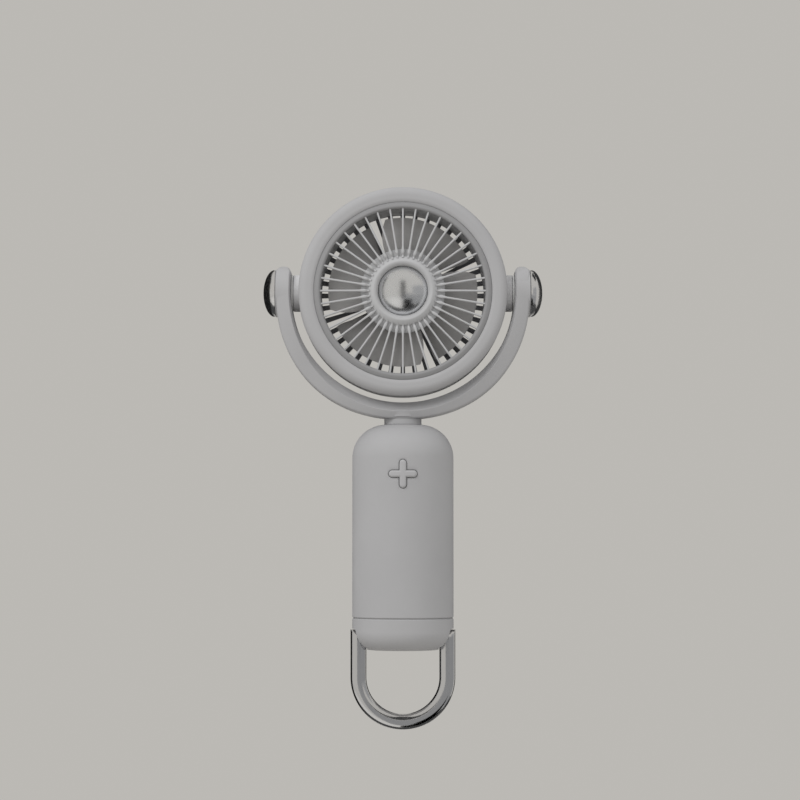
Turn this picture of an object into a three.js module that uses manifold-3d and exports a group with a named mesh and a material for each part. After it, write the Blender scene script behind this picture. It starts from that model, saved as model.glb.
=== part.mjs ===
// Hand-held rechargeable fan: a round head that tilts in a yoke, a cylindrical handle, and a carry loop.
// Lengths are in millimetres, angles in degrees. +Z is up and the front faces -Y.
// The origin is the middle of the base cap's flat underside.
import * as THREE from 'three';
import { mergeVertices } from 'three/addons/utils/BufferGeometryUtils.js';
import Module from 'manifold-3d';

// Fits
const seatGap = 0.3; // between a piece and what carries it
const runGap = 0.4; // between a moving piece and its guide
const cutOver = 2; // overrun of every cut

// Handle shell
const handleRadius = 18.2;
const handleHeadroom = 9.9; // from the cell's top to the flat top
const handleWall = 2;
const shoulderFlat = 6.2; // radius of the flat top inside the shoulder

// Base cap
const capHeight = 11.2; // from the underside to the seam
const capCorner = 6.8;
const capFloor = 2;
const capWeb = 2; // wall behind each loop pocket
const spigotHeight = 2.4;
const spigotWall = 1.8;
const pocketWidth = 15; // of the pocket that the loop swings in
const pocketCorner = 2.4;

// Carry loop
const loopProud = 0.6; // stand of the bar outside the handle
const loopBarWidth = 5.7;
const loopBarDepth = 5;
const loopPivotHeight = 4.8; // above the underside of the base cap
const loopStraight = 14.6; // from the pivot down to the start of the bend
const loopPinRadius = 1.3;
const loopPinReach = 1.7; // of the pin into the cap's web
const loopPinSeat = 3; // of the pin into the bar

// Push button and what it presses
const buttonLand = 0.95; // between the shoulder and the button
const buttonSpan = 10.1;
const buttonArm = 2.5; // width of one arm of the plus
const buttonProud = 0.8;
const buttonTravel = 0.7;
const flangeOver = 1.4; // of the flange past the arms
const flangeThickness = 1;
const stemRadius = 1.6;
const switchSize = 6;
const switchHeight = 2;
const plungerRadius = 1.5;
const plungerHeight = 0.6;

// Cell, its carrier and the boards
const cellShare = 0.565; // cell radius, of the handle's bore radius
const cellLength = 49.8;
const cellButtonRadius = 3.2; // raised contact on top
const cellButtonHeight = 0.8;
const carrierWall = 1.5;
const carrierShort = 4; // of the carrier and the main board, below the cell's top
const boardThickness = 1.2;
const boardOver = 3; // of the main board below the cell
const chargeBoardDepth = 12; // from its straight edge to the handle's wall
const cellLift = 6; // of the cell over the charging board

// Charging socket
const socketWidth = 9;
const socketHeight = 3.2;
const socketDepth = 7.4;
const socketWall = 0.5;
const socketTongue = 0.7;
const socketInset = 0.9; // below the handle's surface

// Neck
const neckRadius = 6.7;
const neckFlare = 0.3;
const collarHeight = 1.6;
const footProud = 0.4; // flat foot under the yoke
const stubRadius = 4.3;
const stubBore = 2;
const stubOver = 0.6; // of the stub past the nut
const nutOver = 0.8; // of the nut's corners past the flat top
const nutHeight = 2.2;

// Yoke
const yokeThickness = 5.3;
const yokeGap = 2.2; // between the head and the yoke below it
const yokeWidth = 15; // at the foot
const lugRadius = 9.8;
const lugPadProud = 0.2;
const lugPadOver = 0.5; // of the pad past the knob

// Tilt pivot, the same on both sides
const sleeveRadius = 6.6;
const sleeveProud = 2;
const washerThickness = 0.6;
const washerGap = 0.15;
const pinRadius = 2.5;
const pinInset = 3.8; // of the pin's inner end, below the head's side
const spotDepth = 0.1;
const knobRadius = 8.5;
const knobHeight = 4.4;
const knobRim = 0.6; // straight side of the dome
const knobSocketDepth = 2.2;

// Head shells
const headRadius = 37.4;
const bezelWidth = 5.5;
const lipWidth = 2.4; // from the bezel's inner edge to the duct
const bezelDepth = 5.1; // from the seam to the crest
const seamLand = 0.8; // from the sleeve's edge to the seam
const shellRear = 12.4; // behind the tilt axis
const shellWall = 1.8;
const ductWall = 1.6;
const rearRebateDepth = 3.1;
const rearRebateWidth = 1.7;

// Front grille
const ribCount = 40;
const ribWidth = 0.75;
const ribRootWidth = 1.05;
const ribDepth = 1.8;
const ribCrestShare = 0.6; // front width of a rib, of its width
const ribProud = 0.35; // over the lip
const ribBendShare = 0.45; // where a rib's slope changes, of its length
const ribDome = 1.4; // power of the ribs' domed slope
const lipThickness = 0.9; // at the lip's inner edge
const lipRise = 1.9; // of the lip towards the bezel
const hubProud = 0.7; // of the hub ring, ahead of the bezel
const hubRingRadius = 12.2;
const hubRingWidth = 2.1;
const hubEdge = 0.3;
const skirtWidth = 2.4;
const skirtDrop = 1.9;
const hubRecess = 2;
const hubPlate = 1.8;

// Hub cap
const hubCapMargin = 1.3; // dark groove round the cap
const hubCapHeight = 3.8;
const hubCapSide = 1;

// Rotor, shaft and motor
const bladeCount = 4;
const bladeAngle = 70; // of the first blade's middle, from +X towards +Z
const bladeSpan = 85; // of one blade at its root, as seen from the front
const bladeSweep = 3; // lean of a blade's tip against its root
const bladeTipGap = 2.1;
const bladeRise = 7.6;
const bladeInset = 1.2; // from each end of the rotor's hub
const bladeThickness = 1.1;
const bladeCamber = 0.7;
const rotorGap = 1.6; // behind the front grille's hub
const rotorHubRadius = 9.2;
const rotorHubWall = 1.4;
const rotorHubCorner = 2.4;
const rotorBossRadius = 2.4;
const shaftRadius = 0.75;
const shaftGap = 0.15;
const motorGap = 1;
const motorRadius = 9;
const motorLength = 8.5;
const motorChamfer = 0.6;
const motorBore = 3; // depth of the shaft in the motor

// Rear grille
const rearRimThickness = 1.8;
const rearRibShare = 0.38; // of the pitch that a rear rib fills
const cupWall = 1.6;
const cupSetback = 1;
const cupFloor = 1.3;

// Facets of round forms
const ringFacets = 40;
const bodyFacets = 28;
const capFacets = 16;
const smallFacets = 12;
const nutSides = 6;
const domeSteps = 5;
const roundSteps = 4;
const edgeSteps = 3;
const yokeSteps = 18;
const loopSteps = 14;
const barSides = 12;
const bladeSteps = 6;
const tipTurns = [8, 28, 50, 70]; // angles from the end of a rounded tip to its side

// Places worked out from the sizes
const handleBore = handleRadius - handleWall;
const handleFoot = capHeight + seatGap;
const shoulderRadius = handleRadius - shoulderFlat;
const nutRadius = shoulderFlat + nutOver; // to the corners
const chargeBoardTop = capHeight + spigotHeight + seatGap + boardThickness;
const cellFoot = chargeBoardTop + cellLift;
const handleTop = cellFoot + cellLength + handleHeadroom;
const buttonHeight = handleTop - shoulderRadius - buttonLand - buttonSpan / 2;
const collarFoot = handleTop + seatGap;
const yokeInnerDrop = headRadius + yokeGap;
const yokeOuterDrop = yokeInnerDrop + yokeThickness;
const yokeInnerHalf = headRadius + sleeveProud + washerThickness + 2 * washerGap;
const yokeOuterHalf = yokeInnerHalf + yokeThickness;
const footFace = yokeOuterDrop + footProud;
const tiltHeight = collarFoot + collarHeight + seatGap + footFace;
const lipRadius = headRadius - bezelWidth;
const ductRadius = lipRadius - lipWidth;
const seamFront = -(sleeveRadius + seamLand);
const bezelFront = seamFront - bezelDepth;
const hubFront = bezelFront - hubProud;
const hubFloor = hubFront + hubRecess;
const hubBack = hubFloor + hubPlate;
const rotorFront = hubBack + rotorGap;
const rotorBack = rotorFront + bladeRise + 2 * bladeInset;
const motorFront = rotorBack + motorGap;
const motorBack = motorFront + motorLength;
const bladeTip = ductRadius - bladeTipGap;
const loopOuterHalf = handleRadius + loopProud;
const loopInnerHalf = loopOuterHalf - loopBarWidth;
const pocketWall = loopInnerHalf - seatGap;
const pocketTop = loopPivotHeight + loopBarDepth / 2 + runGap;
const cellRadius = handleBore * cellShare;
const carrierTop = cellFoot + cellLength - carrierShort;
const cellY = handleBore - carrierWall - 2 * seatGap - cellRadius;
const boardBack = cellY - cellRadius - 2 * seatGap;
const boardFront = boardBack - boardThickness;
const plungerTip = boardFront - switchHeight - plungerHeight;

const wasm = await Module();
wasm.setup();

const fan = new THREE.Group();
const head = new THREE.Group();
const rotor = new THREE.Group();
const loop = new THREE.Group();
head.position.set(0, 0, tiltHeight);
loop.position.set(0, 0, loopPivotHeight);
fan.add(head, loop);
head.add(rotor);

function finish(color, roughness, metalness) {
  return new THREE.MeshStandardMaterial({ color, roughness, metalness });
}

const palePlastic = finish(0xb2b3b4, 0.45, 0);
const greyPlastic = finish(0x767573, 0.4, 0);
const blackPlastic = finish(0x26272a, 0.6, 0);
const nylon = finish(0xe6e4dc, 0.5, 0);
const chrome = finish(0xe2e3e5, 0.08, 1);
const satinMetal = finish(0xcfccc8, 0.28, 1);
const steel = finish(0xa9abae, 0.35, 1);
const boardGreen = finish(0x1f5a3a, 0.6, 0);
const cellSleeve = finish(0x2f6d8c, 0.5, 0);

// Solid from a closed geometry: shared vertices merged, flat triangles dropped, faces turned outwards.
function solid(geometry) {
  const bare = geometry.clone();
  bare.deleteAttribute('normal');
  bare.deleteAttribute('uv');
  const welded = mergeVertices(bare);
  const places = Float32Array.from(welded.getAttribute('position').array);
  const corners = [];
  let volume = 0;
  const [a, b, c] = [new THREE.Vector3(), new THREE.Vector3(), new THREE.Vector3()];
  for (let i = 0; i < welded.index.count; i += 3) {
    const [p, q, r] = welded.index.array.slice(i, i + 3);
    if (p === q || q === r || r === p) continue;
    corners.push(p, q, r);
    a.fromArray(places, 3 * p);
    b.fromArray(places, 3 * q);
    c.fromArray(places, 3 * r);
    volume += a.dot(b.cross(c));
  }
  if (volume < 0) corners.reverse();
  const triVerts = Uint32Array.from(corners);
  return new wasm.Manifold(new wasm.Mesh({ numProp: 3, vertProperties: places, triVerts }));
}

// Named mesh of a solid, added to its group.
function piece(group, name, body, material) {
  const { vertProperties, triVerts } = body.getMesh();
  const geometry = new THREE.BufferGeometry();
  geometry.setAttribute('position', new THREE.BufferAttribute(Float32Array.from(vertProperties), 3));
  geometry.setIndex(new THREE.BufferAttribute(Uint32Array.from(triVerts), 1));
  geometry.computeVertexNormals();
  const mesh = new THREE.Mesh(geometry, material);
  mesh.name = name;
  group.add(mesh);
}

// Turns a geometry made along Y, such as a lathe or a cylinder, to lie along the named axis.
function alongAxis(geometry, axis) {
  if (axis === 'x') geometry.rotateZ(-Math.PI / 2);
  if (axis === 'z') geometry.rotateX(Math.PI / 2);
  return geometry;
}

// Revolved solid from points [radius, height] that start and end on the axis. A ring's outline closes itself.
function revolve(points, facets, axis) {
  const profile = points.map(([radius, height]) => new THREE.Vector2(radius, height));
  if (points[0][0] > 0) profile.push(profile[0].clone());
  return solid(alongAxis(new THREE.LatheGeometry(profile, facets), axis));
}

// Round bar between two places on an axis.
function rod(radius, from, to, axis, facets = smallFacets) {
  const geometry = new THREE.CylinderGeometry(radius, radius, to - from, facets);
  geometry.translate(0, (from + to) / 2, 0);
  return solid(alongAxis(geometry, axis));
}

// Prism of a shape, drawn as seen along -X (y, z), +Y (x, z) or -Z (x, y), between two places on that axis.
function prism(shape, from, to, axis) {
  const settings = { depth: to - from, bevelEnabled: false, curveSegments: roundSteps };
  const geometry = new THREE.ExtrudeGeometry(shape, settings);
  if (axis === 'y') {
    geometry.translate(0, 0, -to);
    geometry.rotateX(Math.PI / 2);
  } else {
    geometry.translate(0, 0, from);
  }
  if (axis === 'x') {
    const [ex, ey, ez] = [new THREE.Vector3(1, 0, 0), new THREE.Vector3(0, 1, 0), new THREE.Vector3(0, 0, 1)];
    geometry.applyMatrix4(new THREE.Matrix4().makeBasis(ey, ez, ex));
  }
  return solid(geometry);
}

// Solid skin over rings of points, with an even count in each ring. Each end is closed by a strip.
function loft(rings) {
  const count = rings[0].length;
  const last = (rings.length - 1) * count;
  const corners = [];
  for (let i = 0; i < last; i += count) {
    for (let j = 0; j < count; j += 1) {
      const next = (j + 1) % count;
      corners.push(i + j, i + next, i + count + next);
      corners.push(i + j, i + count + next, i + count + j);
    }
  }
  for (let j = 0; j < count / 2 - 1; j += 1) {
    const [k, m] = [count - 1 - j, count - 2 - j];
    corners.push(j, k, m, j, m, j + 1);
    corners.push(last + j, last + m, last + k, last + j, last + j + 1, last + m);
  }
  const geometry = new THREE.BufferGeometry();
  const places = rings.flat().flatMap((point) => point.toArray());
  geometry.setAttribute('position', new THREE.BufferAttribute(Float32Array.from(places), 3));
  geometry.setIndex(corners);
  return solid(geometry);
}

// Points of an elliptical arc about [x, y], from one angle to another.
function arc([x, y], radiusX, radiusY, from, to, steps = roundSteps) {
  return Array.from({ length: steps + 1 }, (_, i) => {
    const angle = THREE.MathUtils.degToRad(from + ((to - from) * i) / steps);
    return [x + radiusX * Math.cos(angle), y + radiusY * Math.sin(angle)];
  });
}

function shapeOf(points) {
  return new THREE.Shape(points.map(([x, y]) => new THREE.Vector2(x, y)));
}

function rectangle(x0, x1, y0, y1) {
  return shapeOf([[x0, y0], [x1, y0], [x1, y1], [x0, y1]]);
}

// Rectangle with two round ends, wider than it is high.
function slotShape(width, height, centre) {
  const reach = (width - height) / 2;
  const right = arc([reach, centre], height / 2, height / 2, -90, 90);
  const left = arc([-reach, centre], height / 2, height / 2, 90, 270);
  return shapeOf([...right, ...left]);
}

// Upright plus with four equal arms and round ends.
function plusShape(span, arm, centre) {
  const half = arm / 2;
  const points = [];
  for (let turn = 0; turn < 360; turn += 90) {
    const angle = THREE.MathUtils.degToRad(turn);
    const [c, s] = [Math.cos(angle), Math.sin(angle)];
    const end = arc([0, span / 2 - half], half, half, 0, 180);
    for (const [x, y] of [[half, half], ...end]) {
      points.push([x * c - y * s, x * s + y * c + centre]);
    }
  }
  return shapeOf(points);
}

function unite(bodies) {
  return bodies.reduce((whole, body) => whole.add(body));
}

// Tube with a domed shoulder and holes for the stub, the button and the charging socket.
function handleShell() {
  const shoulder = handleTop - shoulderRadius;
  const body = revolve([
    [handleRadius, handleFoot],
    ...arc([shoulderFlat, shoulder], shoulderRadius, shoulderRadius, 0, 90, domeSteps),
    [stubRadius + seatGap, handleTop],
    [stubRadius + seatGap, handleTop - handleWall],
    ...arc([shoulderFlat, shoulder], shoulderRadius - handleWall, shoulderRadius - handleWall, 90, 0),
    [handleBore, handleFoot],
  ], bodyFacets, 'z');
  const grown = plusShape(buttonSpan + 2 * seatGap, buttonArm + 2 * seatGap, buttonHeight);
  const port = slotShape(socketWidth + 2 * seatGap, socketHeight + 2 * seatGap, socketMiddle());
  return body
    .subtract(prism(grown, -handleRadius - cutOver, -handleBore / 2, 'y'))
    .subtract(prism(port, handleBore / 2, handleRadius + cutOver, 'y'));
}

function socketMiddle() {
  return chargeBoardTop + seatGap + socketHeight / 2;
}

// Rounded cap with a spigot that fits the handle's bore and a pocket on each side for the loop.
function baseCap() {
  const hollow = pocketWall - capWeb;
  const step = pocketTop + capWeb;
  const spigot = handleBore - seatGap;
  const spigotTop = capHeight + spigotHeight;
  const body = revolve([
    [0, 0],
    ...arc([handleRadius - capCorner, capCorner], capCorner, capCorner, -90, 0),
    [handleRadius, capHeight],
    [spigot, capHeight],
    [spigot, spigotTop],
    [spigot - spigotWall, spigotTop],
    [spigot - spigotWall, step],
    [hollow, step],
    [hollow, capFloor],
    [0, capFloor],
  ], bodyFacets, 'z');
  const half = pocketWidth / 2;
  const outline = shapeOf([
    [-half, -cutOver],
    [half, -cutOver],
    ...arc([half - pocketCorner, pocketTop - pocketCorner], pocketCorner, pocketCorner, 0, 90),
    ...arc([pocketCorner - half, pocketTop - pocketCorner], pocketCorner, pocketCorner, 90, 180),
  ]);
  const holeRadius = loopPinRadius + seatGap;
  const right = prism(outline, pocketWall, handleRadius + cutOver, 'x')
    .add(rod(holeRadius, hollow - cutOver, pocketWall + cutOver, 'x').translate([0, 0, loopPivotHeight]));
  return body.subtract(right).subtract(right.mirror([1, 0, 0]));
}

// U-shaped bar with rounded tips, hollowed from inside for its two pins.
function carryLoop() {
  const middle = (loopOuterHalf + loopInnerHalf) / 2;
  const halfDepth = loopBarDepth / 2;
  const squareShare = 0.8;
  const ring = (place, across, depth) => Array.from({ length: barSides }, (_, i) => {
    const angle = ((2 * i + 1) / barSides) * Math.PI;
    const [c, s] = [Math.cos(angle), Math.sin(angle)];
    const wide = Math.sign(c) * Math.abs(c) ** squareShare * (loopBarWidth / 2);
    const deep = Math.sign(s) * Math.abs(s) ** squareShare * depth;
    return place.clone().addScaledVector(across, wide).add(new THREE.Vector3(0, deep, 0));
  });
  const left = [...tipTurns, 90].map((turn) => {
    const angle = THREE.MathUtils.degToRad(turn);
    const place = new THREE.Vector3(-middle, 0, halfDepth * Math.cos(angle));
    return ring(place, new THREE.Vector3(-1, 0, 0), halfDepth * Math.sin(angle));
  });
  const bend = Array.from({ length: loopSteps + 1 }, (_, i) => {
    const angle = Math.PI * (1 + i / loopSteps);
    const out = new THREE.Vector3(Math.cos(angle), 0, Math.sin(angle));
    const place = new THREE.Vector3(0, 0, -loopStraight).addScaledVector(out, middle);
    return ring(place, out, halfDepth);
  });
  const right = left.map((points) => points.map((p) => new THREE.Vector3(-p.x, p.y, p.z))).reverse();
  const hole = rod(loopPinRadius + shaftGap, loopInnerHalf - cutOver, loopInnerHalf + loopPinSeat, 'x');
  return loft([...left, ...bend, ...right]).subtract(hole).subtract(hole.mirror([1, 0, 0]));
}

function loopPin() {
  return rod(loopPinRadius, pocketWall - loopPinReach, loopInnerHalf + loopPinSeat - shaftGap, 'x');
}

// Plus-shaped button with a curved face, an inner flange and a short stem.
function powerButton() {
  const flangeRadius = buttonSpan / 2 + flangeOver;
  const flangeFront = -(Math.sqrt(handleBore ** 2 - flangeRadius ** 2) - seatGap);
  const flangeBack = flangeFront + flangeThickness;
  const [low, high] = [buttonHeight - buttonSpan, buttonHeight + buttonSpan];
  const face = rod(handleRadius + buttonProud, low, high, 'z', 2 * bodyFacets);
  const outline = plusShape(buttonSpan, buttonArm, buttonHeight);
  const plus = prism(outline, -handleRadius - cutOver, flangeBack, 'y');
  const flange = rod(flangeRadius, flangeFront, flangeBack, 'y', capFacets);
  const stem = rod(stemRadius, flangeFront, plungerTip - buttonTravel - shaftGap, 'y');
  return plus.intersect(face).add(flange.add(stem).translate([0, 0, buttonHeight]));
}

function battery() {
  const [edge, top] = [cellButtonHeight, cellFoot + cellLength];
  return revolve([
    [0, cellFoot],
    [cellRadius - edge, cellFoot],
    [cellRadius, cellFoot + edge],
    [cellRadius, top - cellButtonHeight - edge],
    [cellRadius - edge, top - cellButtonHeight],
    [cellButtonRadius, top - cellButtonHeight],
    [cellButtonRadius, top],
    [0, top],
  ], capFacets, 'z').translate([0, cellY, 0]);
}

// Trough round the back of the cell, with a fin to the handle's wall on each side.
function cellCarrier() {
  const inner = cellRadius + seatGap;
  const outer = inner + carrierWall;
  const legEnd = boardBack + seatGap;
  const trough = shapeOf([
    [outer, legEnd],
    ...arc([0, cellY], outer, outer, 0, 180, 2 * roundSteps),
    [-outer, legEnd],
    [-inner, legEnd],
    ...arc([0, cellY], inner, inner, 180, 0, 2 * roundSteps),
    [inner, legEnd],
  ]);
  const finEnd = Math.sqrt((handleBore - seatGap) ** 2 - cellY ** 2);
  const fin = rectangle(inner + carrierWall / 2, finEnd, cellY - carrierWall, cellY);
  const foot = cellFoot - carrierWall;
  const side = prism(fin, foot, carrierTop, 'z');
  return prism(trough, foot, carrierTop, 'z').add(side).add(side.mirror([1, 0, 0]));
}

function mainBoard() {
  const half = Math.sqrt((handleBore - seatGap) ** 2 - boardFront ** 2);
  const outline = rectangle(-half, half, cellFoot - boardOver, carrierTop);
  return prism(outline, boardFront, boardBack, 'y');
}

function pushSwitch() {
  const half = switchSize / 2;
  const outline = rectangle(-half, half, buttonHeight - half, buttonHeight + half);
  const body = prism(outline, boardFront - switchHeight, boardFront - shaftGap, 'y');
  const plunger = rod(plungerRadius, plungerTip, boardFront - switchHeight / 2, 'y');
  return body.add(plunger.translate([0, 0, buttonHeight]));
}

// Board that lies on the base cap's spigot: a segment of the handle's bore.
function chargeBoard() {
  const radius = handleBore - seatGap;
  const edge = radius - chargeBoardDepth;
  const turn = THREE.MathUtils.radToDeg(Math.asin(edge / radius));
  const outline = shapeOf(arc([0, 0], radius, radius, turn, 180 - turn, 3 * roundSteps));
  return prism(outline, chargeBoardTop - boardThickness, chargeBoardTop, 'z');
}

// Oval sleeve with a closed back and a tongue.
function chargingSocket() {
  const mouth = handleRadius - socketInset;
  const back = mouth - socketDepth;
  const middle = socketMiddle();
  const inner = slotShape(socketWidth - 2 * socketWall, socketHeight - 2 * socketWall, middle);
  const tongueHalf = socketWidth / 2 - socketHeight / 2;
  const tongue = rectangle(-tongueHalf, tongueHalf, middle - socketTongue / 2, middle + socketTongue / 2);
  return prism(slotShape(socketWidth, socketHeight, middle), back, mouth, 'y')
    .subtract(prism(inner, back + socketWall, mouth + cutOver, 'y'))
    .add(prism(tongue, back + socketWall / 2, mouth - socketHeight / 2, 'y'));
}

function neckCollar() {
  const top = collarFoot + collarHeight;
  const bore = stubRadius + seatGap;
  return revolve([
    [neckRadius, collarFoot],
    [neckRadius, collarFoot + collarHeight / 2],
    [neckRadius + neckFlare, top],
    [bore, top],
    [bore, collarFoot],
  ], capFacets, 'z');
}

function neckNut() {
  const top = handleTop - handleWall - seatGap;
  return rod(nutRadius, top - nutHeight, top, 'z', nutSides)
    .subtract(rod(stubRadius + seatGap, top - nutHeight - cutOver, top + cutOver, 'z'));
}

// Section of the yoke's band, as [share of thickness, share of half width]: a flat inner side, a broad
// rounded bevel, a front edge and a flat outer side.
const yokeBevelShare = 0.6;
const yokeSectionShares = [
  ...arc([yokeBevelShare, yokeBevelShare], -yokeBevelShare, 1 - yokeBevelShare, 0, 90, edgeSteps),
  [0.85, 1],
  [1, 0.88],
];

function yokeRing(halfWidth, place) {
  const front = yokeSectionShares.map(([out, side]) => place(out * yokeThickness, -side * halfWidth));
  const back = yokeSectionShares.map(([out, side]) => place(out * yokeThickness, side * halfWidth));
  return [...front, ...back.reverse()];
}

// Half-round band about the tilt axis, widening from the foot to a round lug on each side, whose top is a
// full round of the band's thickness.
function yokeBand() {
  const middle = yokeThickness / 2;
  const lug = (side) => tipTurns.map((turn) => {
    const angle = THREE.MathUtils.degToRad(turn);
    const [halfWidth, rise] = [lugRadius * Math.sin(angle), lugRadius * Math.cos(angle)];
    const past = Math.max(0, rise - lugRadius + middle) / middle;
    const keep = Math.sqrt(1 - past ** 2);
    const place = (out, y) => {
      const x = yokeInnerHalf + middle + (out - middle) * keep;
      return new THREE.Vector3(side * x, y, rise);
    };
    return yokeRing(halfWidth, place);
  });
  const arch = Array.from({ length: yokeSteps + 1 }, (_, i) => {
    const angle = (Math.PI * i) / yokeSteps;
    const [c, s] = [Math.cos(angle), Math.sin(angle)];
    const halfWidth = THREE.MathUtils.lerp(lugRadius, yokeWidth / 2, s ** 2 * (3 - 2 * s));
    const place = (out, y) => new THREE.Vector3((yokeInnerHalf + out) * c, y, -(yokeInnerDrop + out) * s);
    return yokeRing(halfWidth, place);
  });
  return loft([...lug(1), ...arch, ...lug(-1).reverse()]);
}

// The band with a flat foot and a stub for the handle. Each lug has a pad, a spot face and a pin hole.
function yoke() {
  const stubEnd = handleTop - handleWall - seatGap - nutHeight - stubOver - tiltHeight;
  const bevelled = yokeInnerDrop + yokeThickness / 2;
  const foot = rod(neckRadius + neckFlare, -footFace, -bevelled, 'z', capFacets);
  const stub = rod(stubRadius, stubEnd, -bevelled, 'z');
  const bore = rod(stubBore, stubEnd - cutOver, -yokeOuterDrop, 'z');
  const face = yokeOuterHalf + lugPadProud;
  const pad = rod(knobRadius + lugPadOver, yokeInnerHalf + yokeThickness / 2, face, 'x', capFacets);
  const spot = rod(sleeveRadius + runGap, headRadius, yokeInnerHalf + spotDepth, 'x', capFacets);
  const hole = spot.add(rod(pinRadius + shaftGap, headRadius, face + cutOver, 'x'));
  return unite([yokeBand(), foot, stub, pad, pad.mirror([1, 0, 0])])
    .subtract(unite([bore, hole, hole.mirror([1, 0, 0])]));
}

function knobCap() {
  const foot = yokeOuterHalf + lugPadProud + seatGap / 2;
  const socket = pinRadius + shaftGap;
  return revolve([
    [0, foot + knobSocketDepth],
    [socket, foot + knobSocketDepth],
    [socket, foot],
    [knobRadius, foot],
    ...arc([0, foot + knobRim], knobRadius, knobHeight - knobRim, 0, 90, domeSteps),
  ], capFacets, 'x');
}

function pivotPin() {
  const end = yokeOuterHalf + lugPadProud + knobSocketDepth - shaftGap;
  return rod(pinRadius, headRadius - pinInset, end, 'x');
}

function frictionWasher() {
  const inner = headRadius + sleeveProud + washerGap;
  return rod(sleeveRadius - washerThickness, inner, inner + washerThickness, 'x', capFacets)
    .subtract(rod(pinRadius + runGap, inner - cutOver, inner + cutOver, 'x'));
}

// Bearing sleeve through the shell's side, from the duct to the washer.
function tiltSleeve() {
  const foot = ductRadius + ductWall + seatGap;
  const end = headRadius + sleeveProud;
  return rod(sleeveRadius, foot, end, 'x', capFacets)
    .subtract(rod(pinRadius + runGap, foot - cutOver, end + cutOver, 'x'));
}

// Arched front ring, open at the back, with a small step inside its crest.
function frontBezel() {
  const [outerShare, crestShare] = [0.55, 0.5];
  const outerRound = bezelWidth * outerShare;
  const crest = headRadius - outerRound;
  const innerRound = (crest - lipRadius) * crestShare;
  const outerDrop = bezelDepth * outerShare;
  return revolve([
    [headRadius, seamFront],
    ...arc([crest, bezelFront + outerDrop], outerRound, -outerDrop, 0, 90, roundSteps),
    ...arc([lipRadius + innerRound, bezelFront + innerRound], innerRound, -innerRound, 90, 180, 2),
    [lipRadius, seamFront],
    [lipRadius + ductWall, seamFront],
    [lipRadius + ductWall, bezelFront + shellWall],
    [crest, bezelFront + shellWall],
    [headRadius - shellWall, bezelFront + outerDrop],
    [headRadius - shellWall, seamFront],
  ], ringFacets, 'y');
}

// Double-walled rear ring with a rebate for the rear grille and a hole on each side for the tilt sleeve.
function rearShell() {
  const cornerShare = 0.84;
  const innerTurn = 60; // of the corner's inner arc
  const rimRadius = ductRadius + rearRebateWidth;
  const corner = (headRadius - rimRadius) * cornerShare;
  const inside = corner - shellWall;
  const foot = seamFront + seatGap;
  const bed = shellRear - rearRebateDepth;
  const body = revolve([
    [headRadius, foot],
    ...arc([headRadius - corner, shellRear - corner], corner, corner, 0, 90),
    [rimRadius, shellRear],
    [rimRadius, bed],
    [ductRadius, bed],
    [ductRadius, seamFront],
    [ductRadius + ductWall, seamFront],
    [ductRadius + ductWall, bed - shellWall],
    ...arc([headRadius - corner, shellRear - corner], inside, inside, innerTurn, 0, 2),
    [headRadius - shellWall, foot],
  ], ringFacets, 'y');
  const holeFoot = ductRadius + ductWall + seatGap;
  const hole = rod(sleeveRadius + seatGap, holeFoot, headRadius + cutOver, 'x', capFacets);
  return body.subtract(hole).subtract(hole.mirror([1, 0, 0]));
}

// Copies of one rib turned about the head's axis.
function ribRing(rib) {
  return Array.from({ length: ribCount }, (_, i) => rib.rotate([0, (360 * i) / ribCount, 0]));
}

// Thin radial rib whose section narrows to the front, along stations [radius, front, width].
function grilleRib(stations) {
  return loft(stations.map(([radius, front, width]) => {
    const side = [[width * ribCrestShare / 2, front], [width / 2, front + ribDepth]];
    const other = side.map(([z, y]) => [-z, y]).reverse();
    return [...side, ...other].map(([z, y]) => new THREE.Vector3(radius, y, z));
  }));
}

// Domed fan of ribs between a sloping lip and a hub with a skirt, from whose slope the ribs rise as fins.
function frontGrille() {
  const outer = lipRadius - seatGap;
  const lipBack = seamFront - seatGap;
  const lipFront = lipBack - lipThickness;
  const lip = revolve([
    [outer, lipFront - lipRise],
    [ductRadius, lipFront],
    [ductRadius, lipBack],
    [outer, lipBack],
  ], ringFacets, 'y');
  const [groove, skirt] = [hubRingRadius - hubRingWidth, hubRingRadius + skirtWidth];
  const hub = revolve([
    [0, hubFloor],
    [groove, hubFloor],
    [groove, hubFront + hubEdge],
    [groove + hubEdge, hubFront],
    [hubRingRadius - hubEdge, hubFront],
    [hubRingRadius, hubFront + hubEdge],
    [skirt, hubFront + hubEdge + skirtDrop],
    [skirt, hubBack - hubEdge],
    [skirt - hubEdge, hubBack],
    [0, hubBack],
  ], ringFacets, 'y');
  const [start, end] = [hubRingRadius - hubEdge, outer - seatGap];
  const slope = (lipRise * (end - ductRadius)) / (outer - ductRadius);
  const [root, tip] = [hubFront + hubEdge, lipFront - slope - ribProud];
  const rib = grilleRib([[0, ribRootWidth], [ribBendShare, ribWidth], [1, ribWidth]].map(([share, width]) => [
    THREE.MathUtils.lerp(start, end, share),
    THREE.MathUtils.lerp(root, tip, share ** ribDome),
    width,
  ]));
  return unite([lip, hub, ...ribRing(rib)]);
}

function hubCap() {
  const radius = hubRingRadius - hubRingWidth - hubCapMargin;
  const [foot, top] = [hubFloor - seatGap, hubFloor - seatGap - hubCapSide];
  return revolve([
    [0, foot],
    [radius, foot],
    ...arc([0, top], radius, -hubCapHeight, 0, 90, domeSteps),
  ], bodyFacets, 'y');
}

// Stations of a blade, as shares of its length. The corner of its front edge is rounded off past the second.
const bladeCornerShare = 0.4;
const bladeShares = [0, bladeCornerShare, 0.75, 0.92, 1];

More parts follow.
